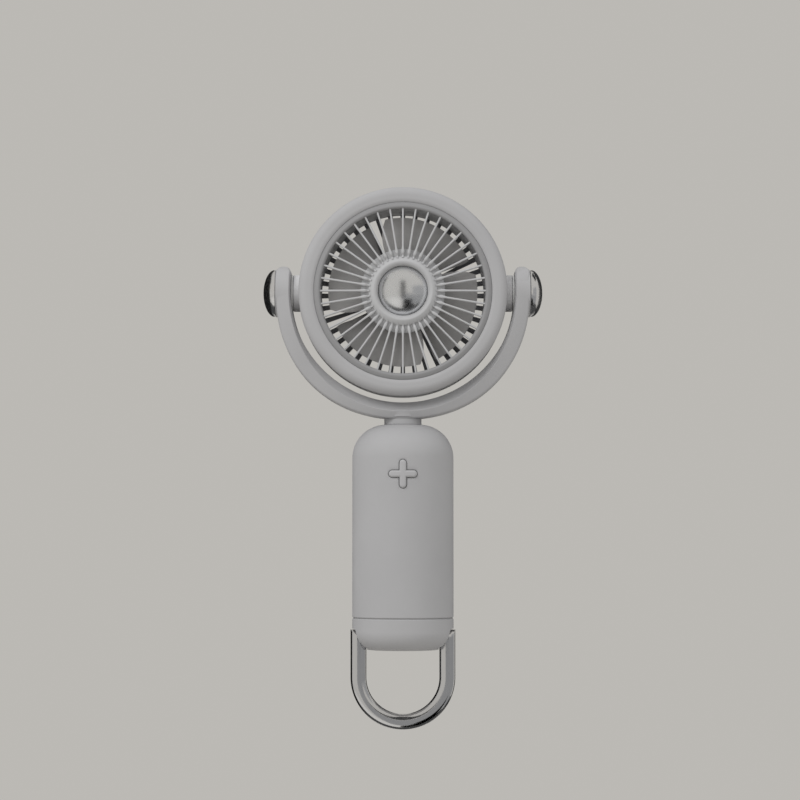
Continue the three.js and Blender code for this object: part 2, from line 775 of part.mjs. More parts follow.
// One blade: a twisted, cambered plate, whose edge of the higher angle lies to the front.
function blade() {
  const [rootShare, frontTrimShare, edgeThinShare] = [0.4, 0.14, 0.55];
  const root = rotorHubRadius - rotorHubWall * rootShare;
  const middle = (rotorFront + rotorBack) / 2;
  const half = THREE.MathUtils.degToRad(bladeSpan / 2);
  const rings = bladeShares.map((share) => {
    const radius = THREE.MathUtils.lerp(root, bladeTip, share);
    const past = Math.max(0, share - bladeCornerShare) / (1 - bladeCornerShare);
    const trim = 1 - frontTrimShare * past ** 2;
    const centre = THREE.MathUtils.degToRad(bladeAngle - bladeSweep * share);
    const row = (face) => Array.from({ length: bladeSteps + 1 }, (_, i) => {
      const along = (2 * i) / bladeSteps - 1;
      const angle = centre + along * half * (along > 0 ? trim : 1);
      const thick = (bladeThickness / 2) * (1 - edgeThinShare * along ** 2);
      const y = middle - (bladeRise / 2) * along - bladeCamber * (1 - along ** 2) + face * thick;
      return new THREE.Vector3(radius * Math.cos(angle), y, radius * Math.sin(angle));
    });
    return [...row(-1), ...row(1).reverse()];
  });
  return loft(rings);
}

// Cup-shaped hub with a boss for the shaft, and its blades.
function fanRotor() {
  const inner = rotorHubRadius - rotorHubWall;
  const [floor, bore] = [rotorFront + rotorHubWall, shaftRadius + shaftGap];
  const flat = rotorHubRadius - rotorHubCorner;
  const hub = revolve([
    [0, rotorFront],
    ...arc([flat, rotorFront + rotorHubCorner], rotorHubCorner, -rotorHubCorner, 90, 0, edgeSteps),
    [rotorHubRadius, rotorBack],
    [inner, rotorBack],
    [inner, floor + rotorHubCorner],
    [inner - rotorHubCorner, floor],
    [rotorBossRadius, floor],
    [rotorBossRadius, rotorBack],
    [bore, rotorBack],
    [bore, floor],
    [0, floor],
  ], capFacets, 'y');
  const blades = Array.from({ length: bladeCount }, (_, i) => blade().rotate([0, (360 * i) / bladeCount, 0]));
  return unite([hub, ...blades]);
}

function motorShaft() {
  const [front, back] = [rotorFront + rotorHubWall + shaftGap, motorFront + motorBore - shaftGap];
  return rod(shaftRadius, front, back, 'y', smallFacets / 2);
}

function motorBody() {
  const bore = shaftRadius + shaftGap;
  return revolve([
    [0, motorFront + motorBore],
    [bore, motorFront + motorBore],
    [bore, motorFront],
    [motorRadius - motorChamfer, motorFront],
    [motorRadius, motorFront + motorChamfer],
    [motorRadius, motorBack - motorChamfer],
    [motorRadius - motorChamfer, motorBack],
    [0, motorBack],
  ], capFacets, 'y');
}

// Ribs of equal angle between the rim, which lies in the shell's rebate, and the cup that holds the motor.
function rearGrille() {
  const rimFront = shellRear - rearRebateDepth + seatGap;
  const rimBack = rimFront + rearRimThickness;
  const rimOuter = ductRadius + rearRebateWidth - seatGap;
  const inner = motorRadius + seatGap;
  const outer = inner + cupWall;
  const floor = motorBack + seatGap;
  const rim = revolve([
    [rimOuter, rimFront],
    [rimOuter, rimBack],
    [ductRadius, rimBack],
    [ductRadius, rimFront],
  ], ringFacets, 'y');
  const cup = revolve([
    [0, floor],
    [inner, floor],
    [inner, motorFront + cupSetback],
    [outer, motorFront + cupSetback],
    ...arc([outer - cupWall, floor], cupWall, cupFloor, 0, 90, edgeSteps),
    [0, floor + cupFloor],
  ], capFacets, 'y');
  const half = THREE.MathUtils.degToRad((180 / ribCount) * rearRibShare);
  const bar = loft([inner + cupWall / 2, (ductRadius + rimOuter) / 2].map((radius) => {
    const [x, z] = [radius * Math.cos(half), radius * Math.sin(half)];
    const corners = [[z, rimFront], [z, rimBack], [-z, rimBack], [-z, rimFront]];
    return corners.map(([side, y]) => new THREE.Vector3(x, y, side));
  }));
  return unite([rim, cup, ...ribRing(bar)]);
}

// A piece on each side of the object, the left one a mirror image.
function pair(group, name, body, material) {
  piece(group, `${name}_right`, body, material);
  piece(group, `${name}_left`, body.mirror([1, 0, 0]), material);
}

// Yoke and pivots are made about the tilt axis, then lifted to it.
function lifted(body) {
  return body.translate([0, 0, tiltHeight]);
}

piece(fan, 'handle_shell', handleShell(), palePlastic);
piece(fan, 'base_cap', baseCap(), palePlastic);
piece(fan, 'battery_cell', battery(), cellSleeve);
piece(fan, 'cell_carrier', cellCarrier(), blackPlastic);
piece(fan, 'main_board', mainBoard(), boardGreen);
piece(fan, 'push_switch', pushSwitch(), blackPlastic);
piece(fan, 'charge_board', chargeBoard(), boardGreen);
piece(fan, 'charging_socket', chargingSocket(), steel);
piece(fan, 'power_button', powerButton(), palePlastic);
piece(fan, 'neck_collar', neckCollar(), palePlastic);
piece(fan, 'neck_nut', neckNut(), steel);
piece(fan, 'yoke', lifted(yoke()), palePlastic);
pair(fan, 'knob_cap', lifted(knobCap()), chrome);
pair(fan, 'pivot_pin', lifted(pivotPin()), steel);
pair(fan, 'friction_washer', lifted(frictionWasher()), nylon);
piece(loop, 'carry_loop', carryLoop(), chrome);
pair(loop, 'loop_pin', loopPin(), steel);
pair(head, 'tilt_sleeve', tiltSleeve(), palePlastic);
piece(head, 'front_bezel', frontBezel(), palePlastic);
piece(head, 'rear_shell', rearShell(), palePlastic);
piece(head, 'front_grille', frontGrille(), palePlastic);
piece(head, 'hub_cap', hubCap(), satinMetal);
piece(head, 'rear_grille', rearGrille(), blackPlastic);
piece(head, 'motor_body', motorBody(), steel);
piece(rotor, 'fan_rotor', fanRotor(), greyPlastic);
piece(rotor, 'motor_shaft', motorShaft(), steel);

export default fan;
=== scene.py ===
"""Looks of a hand-held rechargeable fan: a round head in a C-shaped yoke, a handle and a metal carry loop.

Lengths are in metres and the frame's axes are kept: +Z up, the front faces -Y. Each visible piece is a surface
worked out over a grid of two parameters, in the place of the frame's node that it stands for.
"""

import math

import bmesh
import bpy
import numpy as np
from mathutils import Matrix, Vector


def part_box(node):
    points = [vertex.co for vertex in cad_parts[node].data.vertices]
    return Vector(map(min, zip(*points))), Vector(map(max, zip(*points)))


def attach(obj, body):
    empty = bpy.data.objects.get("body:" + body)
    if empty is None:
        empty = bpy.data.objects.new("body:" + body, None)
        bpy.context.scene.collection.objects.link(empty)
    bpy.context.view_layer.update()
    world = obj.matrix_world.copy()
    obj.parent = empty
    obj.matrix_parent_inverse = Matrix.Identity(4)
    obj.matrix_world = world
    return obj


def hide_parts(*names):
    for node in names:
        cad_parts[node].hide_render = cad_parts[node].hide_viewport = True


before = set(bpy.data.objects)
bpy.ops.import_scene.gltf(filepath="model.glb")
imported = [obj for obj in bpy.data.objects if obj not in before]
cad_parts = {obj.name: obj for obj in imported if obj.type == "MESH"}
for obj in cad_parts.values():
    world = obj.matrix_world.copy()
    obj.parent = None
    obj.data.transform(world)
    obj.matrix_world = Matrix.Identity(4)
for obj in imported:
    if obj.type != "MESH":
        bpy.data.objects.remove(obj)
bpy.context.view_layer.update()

# Fineness of round forms
RING_SIDES = 240
BODY_SIDES = 192
SMALL_SIDES = 96
CORNER_STEPS = 8
LARGEST_ROUND = 0.499  # share of a side that one corner may round
MERGE_DISTANCE = 1e-7
SHARP_ANGLE = math.radians(32)


def node_box(name):
    """Lowest and highest corner of a frame's node, as arrays."""
    low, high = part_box(name)
    return np.array(low), np.array(high)


# Places read from the frame
handle_low, handle_high = node_box("handle_shell")
_, cap_high = node_box("base_cap")
_, collar_high = node_box("neck_collar")
button_low, button_high = node_box("power_button")
socket_low, socket_high = node_box("charging_socket")
yoke_low, yoke_high = node_box("yoke")
bezel_low, bezel_high = node_box("front_bezel")
_, shell_high = node_box("rear_shell")
grille_low, _ = node_box("front_grille")
dome_low, dome_high = node_box("hub_cap")
rotor_low, rotor_high = node_box("fan_rotor")
guard_low, guard_high = node_box("rear_grille")
sleeve_low, sleeve_high = node_box("tilt_sleeve_right")
washer_low, washer_high = node_box("friction_washer_right")
knob_low, knob_high = node_box("knob_cap_right")
loop_low, _ = node_box("carry_loop")
loop_pin_low, loop_pin_high = node_box("loop_pin_right")

HANDLE_RADIUS = handle_high[0]
HEAD_RADIUS = bezel_high[0]
TILT_HEIGHT = (bezel_low[2] + bezel_high[2]) / 2
SEAT_GAP = 0.0003
HAIRLINE = 0.00008
HEAD_CENTRE = (0, 0, TILT_HEIGHT)
AXES = {"x": (SMALL_SIDES, HEAD_CENTRE), "y": (RING_SIDES, HEAD_CENTRE), "z": (BODY_SIDES, (0, 0, 0))}
SHELL_WALL = 0.0018
DUCT_WALL = 0.0016


# Surfaces

def grid_faces(rows, columns, wrap_rows):
    """Quads between neighbouring points of a grid whose columns close on themselves."""
    row = np.arange(rows if wrap_rows else rows - 1)[:, None]
    column = np.arange(columns)[None, :]
    next_row, next_column = (row + 1) % rows, (column + 1) % columns
    corners = [
        row * columns + column,
        row * columns + next_column,
        next_row * columns + next_column,
        next_row * columns + column,
    ]
    return np.stack(corners, axis=-1).reshape(-1, 4)


def closed_mesh(grids, wrap_rows=False):
    """Mesh of grids (rows, columns, 3). A row whose points coincide becomes a pole that closes the end."""
    places, faces, start = [], [], 0
    for grid in grids:
        rows, columns, _ = grid.shape
        places.append(grid.reshape(-1, 3))
        faces.append(grid_faces(rows, columns, wrap_rows) + start)
        start += rows * columns
    mesh = bpy.data.meshes.new("surface")
    mesh.from_pydata(np.concatenate(places), [], np.concatenate(faces))
    bm = bmesh.new()
    bm.from_mesh(mesh)
    bmesh.ops.remove_doubles(bm, verts=bm.verts, dist=MERGE_DISTANCE)
    bmesh.ops.recalc_face_normals(bm, faces=bm.faces)
    bm.to_mesh(mesh)
    bm.free()
    return mesh


def placed(name, data):
    """Object of a mesh, lamp or camera in the scene."""
    made = bpy.data.objects.new(name, data)
    bpy.context.scene.collection.objects.link(made)
    return made


def piece(name, mesh, body, material, slot, *replaced):
    """Object of a mesh, smooth but for its sharp edges, that rides on a body in place of the frame's nodes."""
    mesh.name = name
    mesh.polygons.foreach_set("use_smooth", np.ones(len(mesh.polygons), dtype=bool))
    mesh.set_sharp_from_angle(angle=SHARP_ANGLE)
    mesh.materials.clear()
    mesh.materials.append(material)
    made = placed(name, mesh)
    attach(made, body)
    if replaced:
        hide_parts(*replaced)


def combined(body, tools, operation):
    """Mesh of a closed mesh that closed tool meshes are cut from or joined to."""
    kept = placed("blank", body)
    helpers = [placed("tool", tool) for tool in tools]
    for helper in helpers:
        step = kept.modifiers.new("step", "BOOLEAN")
        step.operation, step.solver, step.object = operation, "EXACT", helper
    evaluated = kept.evaluated_get(bpy.context.evaluated_depsgraph_get())
    made = bpy.data.meshes.new_from_object(evaluated)
    for used in [kept, *helpers]:
        bpy.data.objects.remove(used)
    return made


def rounded(corners, steps=CORNER_STEPS):
    """Outline through corners (x, y, radius), each rounded by an arc that touches both of its sides."""
    places = np.array([corner[:2] for corner in corners], dtype=float)
    points = []
    for index, (_, _, radius) in enumerate(corners):
        here = places[index]
        if radius == 0:
            points.append(here[None, :])
            continue
        back = places[index - 1] - here
        ahead = places[(index + 1) % len(corners)] - here
        back_length, ahead_length = np.linalg.norm(back), np.linalg.norm(ahead)
        back, ahead = back / back_length, ahead / ahead_length
        half = math.acos(np.clip(back @ ahead, -1, 1)) / 2
        touch = min(radius / math.tan(half), LARGEST_ROUND * back_length, LARGEST_ROUND * ahead_length)
        centre = here + (back + ahead) / np.linalg.norm(back + ahead) * touch / math.cos(half)
        start, end = here + back * touch - centre, here + ahead * touch - centre
        turn = math.pi - 2 * half
        share = np.linspace(0, 1, steps + 1)[:, None]
        points.append(centre + (np.sin((1 - share) * turn) * start + np.sin(share * turn) * end) / math.sin(turn))
    return np.concatenate(points)


def ellipse_arc(centre, radii, start, end, steps):
    """Points of an arc about a centre, of one radius or two, from one angle in degrees to another."""
    angle = np.radians(np.linspace(start, end, steps + 1))
    return np.array(centre) + np.array(radii) * np.stack([np.cos(angle), np.sin(angle)], axis=1)


def turned(profile, axis, sides=None, ring=False):
    """Closed mesh of (radius, height) points turned about the tilt axis (x), the head's (y) or the handle's (z):
    radius times cosine and sine of the turn, at the height. The profile ends on the axis, or is a ring."""
    usual_sides, centre = AXES[axis]
    sides = sides or usual_sides
    angle = np.linspace(0, 2 * np.pi, sides, endpoint=False)
    radius, height = profile[:, :1], profile[:, 1:]
    flat = [radius * np.cos(angle), radius * np.sin(angle)]
    rise = np.broadcast_to(height, flat[0].shape)
    order = {"x": [rise, *flat], "y": [flat[0], rise, flat[1]], "z": [*flat, rise]}[axis]
    return closed_mesh([np.stack(order, axis=-1) + np.array(centre)], wrap_rows=ring)


def capped(grid):
    """Grid with a pole before its first row and after its last one."""
    ends = [np.broadcast_to(row.mean(axis=0), row.shape)[None] for row in (grid[0], grid[-1])]
    return np.concatenate([ends[0], grid, ends[1]])


def signed_power(value, power):
    """Size of a value raised to a power, with the value's sign."""
    return np.sign(value) * np.abs(value) ** power


def layered(outlines, depths, axis):
    """Mesh through a stack of outlines at depths along an axis, closed by its first and last outline's middle."""
    rings = []
    for outline, depth in zip(outlines, depths):
        depth = np.broadcast_to(depth, len(outline))
        order = {"x": (depth, outline[:, 0], outline[:, 1]), "y": (outline[:, 0], depth, outline[:, 1])}[axis]
        rings.append(np.stack(order, axis=-1))
    return closed_mesh([capped(np.stack(rings))])


def mirrored(mesh):
    """Left copy of a mesh on the right, its faces turned outwards again."""
    made = mesh.copy()
    places = np.empty(len(made.vertices) * 3, dtype=np.float32)
    made.vertices.foreach_get("co", places)
    places[0::3] *= -1
    made.vertices.foreach_set("co", places)
    made.flip_normals()
    return made


# Finishes

def add_node(tree, kind, inputs=None, settings=None):
    """Shader node with its settings, and with a value or a link at each input."""
    made = tree.nodes.new(kind)
    for name, value in (settings or {}).items():
        setattr(made, name, value)
    for name, value in (inputs or {}).items():
        if isinstance(value, bpy.types.NodeSocket):
            tree.links.new(value, made.inputs[name])
        else:
            made.inputs[name].default_value = value
    return made


def new_finish(name, inputs):
    """Material with its shader and the piece's own coordinates."""
    material = bpy.data.materials.new(name)
    material.use_nodes = True
    tree = material.node_tree
    shader = tree.nodes["Principled BSDF"]
    for key, value in inputs.items():
        shader.inputs[key].default_value = value
    place = add_node(tree, "ShaderNodeTexCoord")
    return material, tree, shader, place.outputs["Object"]


def noise(tree, place, scale, detail=3.0, stretch=None):
    """Noise over the piece, in cells of 1 / scale metres, drawn out along an axis where stretch says so."""
    if stretch:
        place = add_node(tree, "ShaderNodeMapping", {"Vector": place, "Scale": stretch}).outputs["Vector"]
    inputs = {"Vector": place, "Scale": scale, "Detail": detail, "Roughness": 0.55}
    return add_node(tree, "ShaderNodeTexNoise", inputs).outputs["Fac"]


def ranged(tree, value, low, high):
    """Value between 0.3 and 0.7, where most noise lies, spread from low to high."""
    inputs = {"Value": value, "From Min": 0.3, "From Max": 0.7, "To Min": low, "To Max": high}
    return add_node(tree, "ShaderNodeMapRange", inputs).outputs["Result"]


def blended(tree, value, dark, light):
    """Colour from dark to light as a value goes from 0 to 1."""
    inputs = {"Factor": value, "A": (*dark, 1), "B": (*light, 1)}
    return add_node(tree, "ShaderNodeMix", inputs, {"data_type": "RGBA"}).outputs["Result"]


def relief(tree, shader, height, depth, strength=1.0):
    """Bump of a height pattern, depth in metres."""
    made = add_node(tree, "ShaderNodeBump", {"Height": height, "Strength": strength, "Distance": depth})
    tree.links.new(made.outputs["Normal"], shader.inputs["Normal"])


def shade(colour, factor):
    """Colour made darker or lighter by a factor."""
    return tuple(channel * factor for channel in colour)


def varied(tree, shader, pattern, colour, dark, roughness, shares):
    """Link colour and roughness to a pattern: from a dark share of the colour to itself, and between two shares of
    the roughness."""
    tree.links.new(blended(tree, pattern, shade(colour, dark), colour), shader.inputs["Base Color"])
    tree.links.new(ranged(tree, pattern, *(roughness * share for share in shares)), shader.inputs["Roughness"])


def moulded_plastic(name, colour, roughness, grain_depth):
    """Satin moulded plastic: a fine sparked grain, faint flow clouds, and small differences in gloss."""
    cloud_scale, gloss_scale, grain_scale = 45.0, 160.0, 4200.0
    dark, light, smoother, rougher = 0.965, 1.02, 0.05, 0.06
    material, tree, shader, place = new_finish(name, {"IOR": 1.48, "Specular IOR Level": 0.3})
    clouds = ranged(tree, noise(tree, place, cloud_scale, 4.0), 0.0, 1.0)
    tree.links.new(blended(tree, clouds, shade(colour, dark), shade(colour, light)), shader.inputs["Base Color"])
    gloss = noise(tree, place, gloss_scale, 5.0)
    tree.links.new(ranged(tree, gloss, roughness - smoother, roughness + rougher), shader.inputs["Roughness"])
    relief(tree, shader, noise(tree, place, grain_scale, 2.0), grain_depth)
    return material


def polished_metal(name, colour, roughness):
    """Plated metal: bright, with faint smears and hairline marks."""
    smear_scale, mark_scale, mark_stretch, mark_depth = 220.0, 900.0, (1.0, 1.0, 0.08), 0.000002
    material, tree, shader, place = new_finish(name, {"Metallic": 1.0})
    varied(tree, shader, noise(tree, place, smear_scale, 5.0), colour, 0.96, roughness, (0.7, 1.5))
    relief(tree, shader, noise(tree, place, mark_scale, 4.0, mark_stretch), mark_depth, 0.5)
    return material


def spun_metal(name, colour, roughness, centre):
    """Satin metal spun on a lathe: fine rings about the head's axis."""
    cloud_scale, ring_scale, ring_depth = 260.0, 1400.0, 0.000001
    material, tree, shader, place = new_finish(name, {"Metallic": 1.0})
    clouds = noise(tree, place, cloud_scale, 4.0)
    centred = add_node(tree, "ShaderNodeMapping", {"Vector": place, "Location": [-c for c in centre]})
    place = centred.outputs["Vector"]
    inputs = {"Vector": place, "Scale": ring_scale, "Distortion": 1.2, "Detail": 2.0, "Detail Scale": 0.6}
    rings = add_node(tree, "ShaderNodeTexWave", inputs, {"wave_type": "RINGS", "rings_direction": "Y"})
    varied(tree, shader, clouds, colour, 0.94, roughness, (0.85, 1.2))
    relief(tree, shader, rings.outputs["Fac"], ring_depth, 0.3)
    return material


def plain_metal(name, colour, roughness):
    """Turned steel with a drawn grain along its length."""
    grain_scale, grain_stretch, grain_depth = 1500.0, (0.05, 1.0, 1.0), 0.000004
    material, tree, shader, place = new_finish(name, {"Metallic": 1.0})
    grain = noise(tree, place, grain_scale, 4.0, grain_stretch)
    varied(tree, shader, grain, colour, 0.85, roughness, (0.8, 1.3))
    relief(tree, shader, grain, grain_depth)
    return material


def board_laminate(name, mask, copper):
    """Circuit board: green mask over a woven laminate, with copper tracks showing through as lighter lines."""
    track_scale, track_edge, track_end, track_height = 260.0, 0.04, 0.09, 0.00003
    material, tree, shader, place = new_finish(name, {"IOR": 1.5, "Roughness": 0.35})
    inputs = {"Vector": place, "Scale": track_scale, "Randomness": 0.9}
    settings = {"feature": "DISTANCE_TO_EDGE", "distance": "MANHATTAN"}
    tracks = add_node(tree, "ShaderNodeTexVoronoi", inputs, settings)
    edge = add_node(tree, "ShaderNodeMapRange", {
        "Value": tracks.outputs["Distance"], "From Min": track_edge, "From Max": track_end}).outputs["Result"]
    tree.links.new(blended(tree, edge, copper, mask), shader.inputs["Base Color"])
    relief(tree, shader, edge, track_height)
    return material


SHELL_COLOUR = (0.437, 0.434, 0.439)
GRILLE_COLOUR = (0.50, 0.50, 0.505)
ROTOR_COLOUR = (0.43, 0.42, 0.412)
BLACK_COLOUR = (0.04, 0.04, 0.042)
DUCT_COLOUR = (0.45, 0.45, 0.455)
# The guard's grey, darker than the shell's, is painted shade deep in the head
GUARD_SHADE_COLOUR = (0.24, 0.24, 0.252)
CHROME_COLOUR = (0.80, 0.80, 0.81)
SATIN_COLOUR = (0.92, 0.93, 0.95)
STEEL_COLOUR = (0.42, 0.42, 0.43)
NYLON_COLOUR = (0.80, 0.80, 0.79)
MASK_COLOUR, COPPER_COLOUR = (0.012, 0.10, 0.045), (0.06, 0.22, 0.09)
FILM_COLOUR = (0.03, 0.14, 0.25)

# Grain depths of the plastics
FINE_GRAIN, SATIN_GRAIN, FILM_GRAIN, COARSE_GRAIN = 0.000004, 0.000006, 0.000008, 0.00001

# Finishes: name, colour, roughness, grain depth
shell_plastic = moulded_plastic("satin_shell_plastic", SHELL_COLOUR, 0.5, SATIN_GRAIN)
button_plastic = moulded_plastic("button_plastic", shade(SHELL_COLOUR, 1.05), 0.4, FINE_GRAIN)
grille_plastic = moulded_plastic("grille_plastic", GRILLE_COLOUR, 0.36, FINE_GRAIN)
# The sleeves' plastic is the shell plastic lightened: painted light against the shade between lug and head
sleeve_painted_light_plastic = moulded_plastic("sleeve_painted_light_plastic", shade(SHELL_COLOUR, 1.55), 0.5, SATIN_GRAIN)
# The head's plastic is the shell plastic a little lighter: painted light on the head
head_painted_light_plastic = moulded_plastic("head_painted_light_plastic", shade(SHELL_COLOUR, 1.01), 0.5, SATIN_GRAIN)
# The lip's plastic is the shell plastic darkened: painted shade on the lip band
lip_painted_shade_plastic = moulded_plastic("lip_painted_shade_plastic", shade(SHELL_COLOUR, 0.70), 0.5, SATIN_GRAIN)
rotor_plastic = moulded_plastic("grey_rotor_plastic", ROTOR_COLOUR, 0.28, FINE_GRAIN)
black_plastic = moulded_plastic("black_inner_plastic", BLACK_COLOUR, 0.5, COARSE_GRAIN)
duct_plastic = moulded_plastic("grey_duct_plastic", DUCT_COLOUR, 0.5, COARSE_GRAIN)
guard_shade_plastic = moulded_plastic("guard_painted_shade_plastic", GUARD_SHADE_COLOUR, 0.5, COARSE_GRAIN)
nylon = moulded_plastic("nylon_washer", NYLON_COLOUR, 0.45, SATIN_GRAIN)
cell_film = moulded_plastic("cell_film", FILM_COLOUR, 0.4, FILM_GRAIN)
chrome = polished_metal("bright_chrome", CHROME_COLOUR, 0.1)
# The knobs' metal is the chrome made brighter: painted light on the knobs
knob_painted_light_metal = polished_metal("knob_painted_light_metal", shade(CHROME_COLOUR, 1.1), 0.19)
steel = plain_metal("plain_steel", STEEL_COLOUR, 0.32)
laminate = board_laminate("board_laminate", MASK_COLOUR, COPPER_COLOUR)


# Handle

def plus_outline(span, arm, height, steps=16, side_points=7):
    """Upright plus whose arms end in half circles and meet in inner corners."""
    half = arm / 2
    turn = np.linspace(0, np.pi, steps + 1)
    side = np.linspace(half, span / 2 - half, side_points)[:-1]
    end = np.stack([half * np.cos(turn), span / 2 - half + half * np.sin(turn)], axis=1)
    up = np.stack([np.full_like(side, half), side], axis=1)
    down = np.stack([np.full_like(side, -half), side[::-1]], axis=1)
    arm_points = np.concatenate([up, end, down[:-1]])
    angle = np.radians([0, 90, 180, 270])[:, None]
    x = arm_points[:, 0] * np.cos(angle) - arm_points[:, 1] * np.sin(angle)
    z = arm_points[:, 0] * np.sin(angle) + arm_points[:, 1] * np.cos(angle)
    return np.stack([x.ravel(), z.ravel() + height], axis=1)


def slot_outline(width, height, middle, steps=16):
    """Rectangle with two round ends."""
    reach, radius = (width - height) / 2, height / 2
    right = ellipse_arc((reach, middle), radius, -90, 90, steps)
    left = ellipse_arc((-reach, middle), radius, 90, 270, steps)
    return np.concatenate([right, left])


BUTTON_ARM = 0.0025
BUTTON_SPAN = 0.0101
BUTTON_HEIGHT = (button_low[2] + button_high[2]) / 2
BUTTON_FACE_RADIUS = -button_low[1]
SOCKET_WIDTH = socket_high[0] - socket_low[0]
SOCKET_HEIGHT = socket_high[2] - socket_low[2]
SOCKET_MIDDLE = (socket_low[2] + socket_high[2]) / 2
HANDLE_WALL = 0.002
SHOULDER_RADIUS = 0.012
STUB_HOLE = 0.0046
SOCKET_WALL = 0.0004


def wall_cutter(outline, gap, side):
    """Cutter through the tube's wall. The outline grows along a quarter circle at the tube's face and then along
    that rim's last slope, and each ring lies on a cylinder about the handle's axis."""
    rim, last_turn, outside, inside = 0.0004, math.radians(64), 0.0006, 0.003
    turn = np.linspace(0, last_turn, 7)
    growths = gap + rim * (1 - np.cos(turn))
    stands = rim * (np.sin(turn) - 1)
    flare = growths[-1] + (outside - stands[-1]) * math.tan(last_turn)
    growths = np.concatenate([[gap], growths, [flare]])
    stands = np.concatenate([[-inside], stands, [outside]])
    rings = [outline(growth) for growth in growths]
    depths = [side * np.sqrt((HANDLE_RADIUS + stand) ** 2 - ring[:, 0] ** 2) for ring, stand in zip(rings, stands)]
    return layered(rings, depths, "y")


def button_outline(growth):
    """The button's plus, grown outwards."""
    return plus_outline(BUTTON_SPAN + 2 * growth, BUTTON_ARM + 2 * growth, BUTTON_HEIGHT)


def socket_outline(growth):
    """The socket's slot, grown outwards."""
    return slot_outline(SOCKET_WIDTH + 2 * growth, SOCKET_HEIGHT + 2 * growth, SOCKET_MIDDLE)


def handle_tube():
    """Tube with a domed shoulder: the profile is turned about Z, then the button's and the socket's openings are
    cut."""
    foot_edge, button_gap, socket_gap = 0.0004, 0.0001, 0.0003
    bore, flat = HANDLE_RADIUS - HANDLE_WALL, HANDLE_RADIUS - SHOULDER_RADIUS
    foot, top = handle_low[2], handle_high[2]
    shoulder = top - SHOULDER_RADIUS
    inner_round = SHOULDER_RADIUS - HANDLE_WALL
    side = np.linspace(foot + foot_edge, shoulder, 20)[:-1]
    profile = np.concatenate([
        [(HANDLE_RADIUS - foot_edge, foot)],
        np.stack([np.full_like(side, HANDLE_RADIUS), side], axis=1),
        ellipse_arc((flat, shoulder), SHOULDER_RADIUS, 0, 90, 32),
        [(STUB_HOLE, top), (STUB_HOLE, top - HANDLE_WALL)],
        ellipse_arc((flat, shoulder), inner_round, 90, 0, 16),
        [(bore, foot)],
    ])
    cutters = [wall_cutter(button_outline, button_gap, -1), wall_cutter(socket_outline, socket_gap, 1)]
    return combined(turned(profile, "z", ring=True), cutters, "DIFFERENCE")


def button_plus():
    """Plus-shaped button: outlines that shrink round its edge by a quarter circle, then towards its middle, on a
    cylinder about the handle's axis."""
    edge, foot, neck = 0.0008, 0.004, 0.002
    turn = np.radians(np.linspace(0, 90, 11))
    shrink = np.array([0.8, 0.6, 0.4, 0.2, 0.02])
    stands = np.concatenate([[-foot, -neck], edge * (np.sin(turn) - 1), np.zeros_like(shrink)])
    insets = np.concatenate([[0, 0], edge * (1 - np.cos(turn)), np.full_like(shrink, edge)])
    sizes = np.concatenate([np.ones(len(stands) - len(shrink)), shrink])
    rings, depths = [], []
    for stand, inset, size in zip(stands, insets, sizes):
        ring = plus_outline(BUTTON_SPAN - 2 * inset, BUTTON_ARM - 2 * inset, 0) * size
        rings.append(ring + np.array([0, BUTTON_HEIGHT]))
        depths.append(-np.sqrt((BUTTON_FACE_RADIUS + stand) ** 2 - ring[:, 0] ** 2))
    return layered(rings, depths, "y")


def socket_shell():
    """Stamped socket sleeve: an outline drawn back from the mouth and turned in at a rolled lip, down to a floor."""
    lip = 0.0002
    mouth, back = socket_high[1], socket_low[1]
    insets = [0, 0, lip / 2, SOCKET_WALL - lip / 2, SOCKET_WALL, SOCKET_WALL]
    depths = [back, mouth - lip, mouth, mouth, mouth - lip, back + SOCKET_WALL]
    return layered([socket_outline(-inset) for inset in insets], depths, "y")


def socket_tongue():
    """Contact tongue in the socket: a rounded bar."""
    thickness, short = 0.0007, 0.0016
    outline = slot_outline(SOCKET_WIDTH - SOCKET_HEIGHT, thickness, SOCKET_MIDDLE)
    depths = [socket_low[1] + 2 * SOCKET_WALL, socket_high[1] - short]
    return layered([outline, outline], depths, "y")


LOOP_PIVOT_HEIGHT = (loop_pin_low[2] + loop_pin_high[2]) / 2
LOOP_BAR_WIDTH = 0.0057
LOOP_BAR_HALF_DEPTH = 0.0025
LOOP_PROUD = 0.0006
LOOP_MIDDLE = HANDLE_RADIUS + LOOP_PROUD - LOOP_BAR_WIDTH / 2
LOOP_INNER_HALF = LOOP_MIDDLE - LOOP_BAR_WIDTH / 2
LOOP_BEND_HEIGHT = loop_low[2] + LOOP_MIDDLE + LOOP_BAR_WIDTH / 2


def base_cup():
    """Rounded cap under the handle: a profile turned about Z, with a pocket cut on each side for the carry loop."""
    corner, floor, web, edge = 0.0068, 0.002, 0.002, 0.0004
    spigot_wall, run_gap, middle_flat = 0.0018, 0.0004, 0.005
    pocket_wall = LOOP_INNER_HALF - SEAT_GAP
    pocket_top = LOOP_PIVOT_HEIGHT + LOOP_BAR_HALF_DEPTH + run_gap
    seam, top = handle_low[2] - HAIRLINE, cap_high[2]
    spigot, hollow, step = HANDLE_RADIUS - HANDLE_WALL - SEAT_GAP, pocket_wall - web, pocket_top + web
    profile = np.concatenate([
        [(0, 0), (middle_flat, 0)],
        ellipse_arc((HANDLE_RADIUS - corner, corner), corner, -90, 0, 32),
        [(HANDLE_RADIUS, seam - edge), (HANDLE_RADIUS - edge, seam), (spigot, seam), (spigot, top)],
        [(spigot - spigot_wall, top), (spigot - spigot_wall, step), (hollow, step), (hollow, floor), (0, floor)],
    ])
    cup = turned(profile, "z")
    half, overrun, pocket_corner = 0.0075, 0.002, 0.0024
    outline = rounded([
        (-half, -overrun, 0),
        (half, -overrun, 0),
        (half, pocket_top, pocket_corner),
        (-half, pocket_top, pocket_corner),
    ])
    right = layered([outline, outline], [pocket_wall, HANDLE_RADIUS + overrun], "x")
    return combined(cup, [right, mirrored(right)], "DIFFERENCE")


NECK_RADIUS = 0.0067


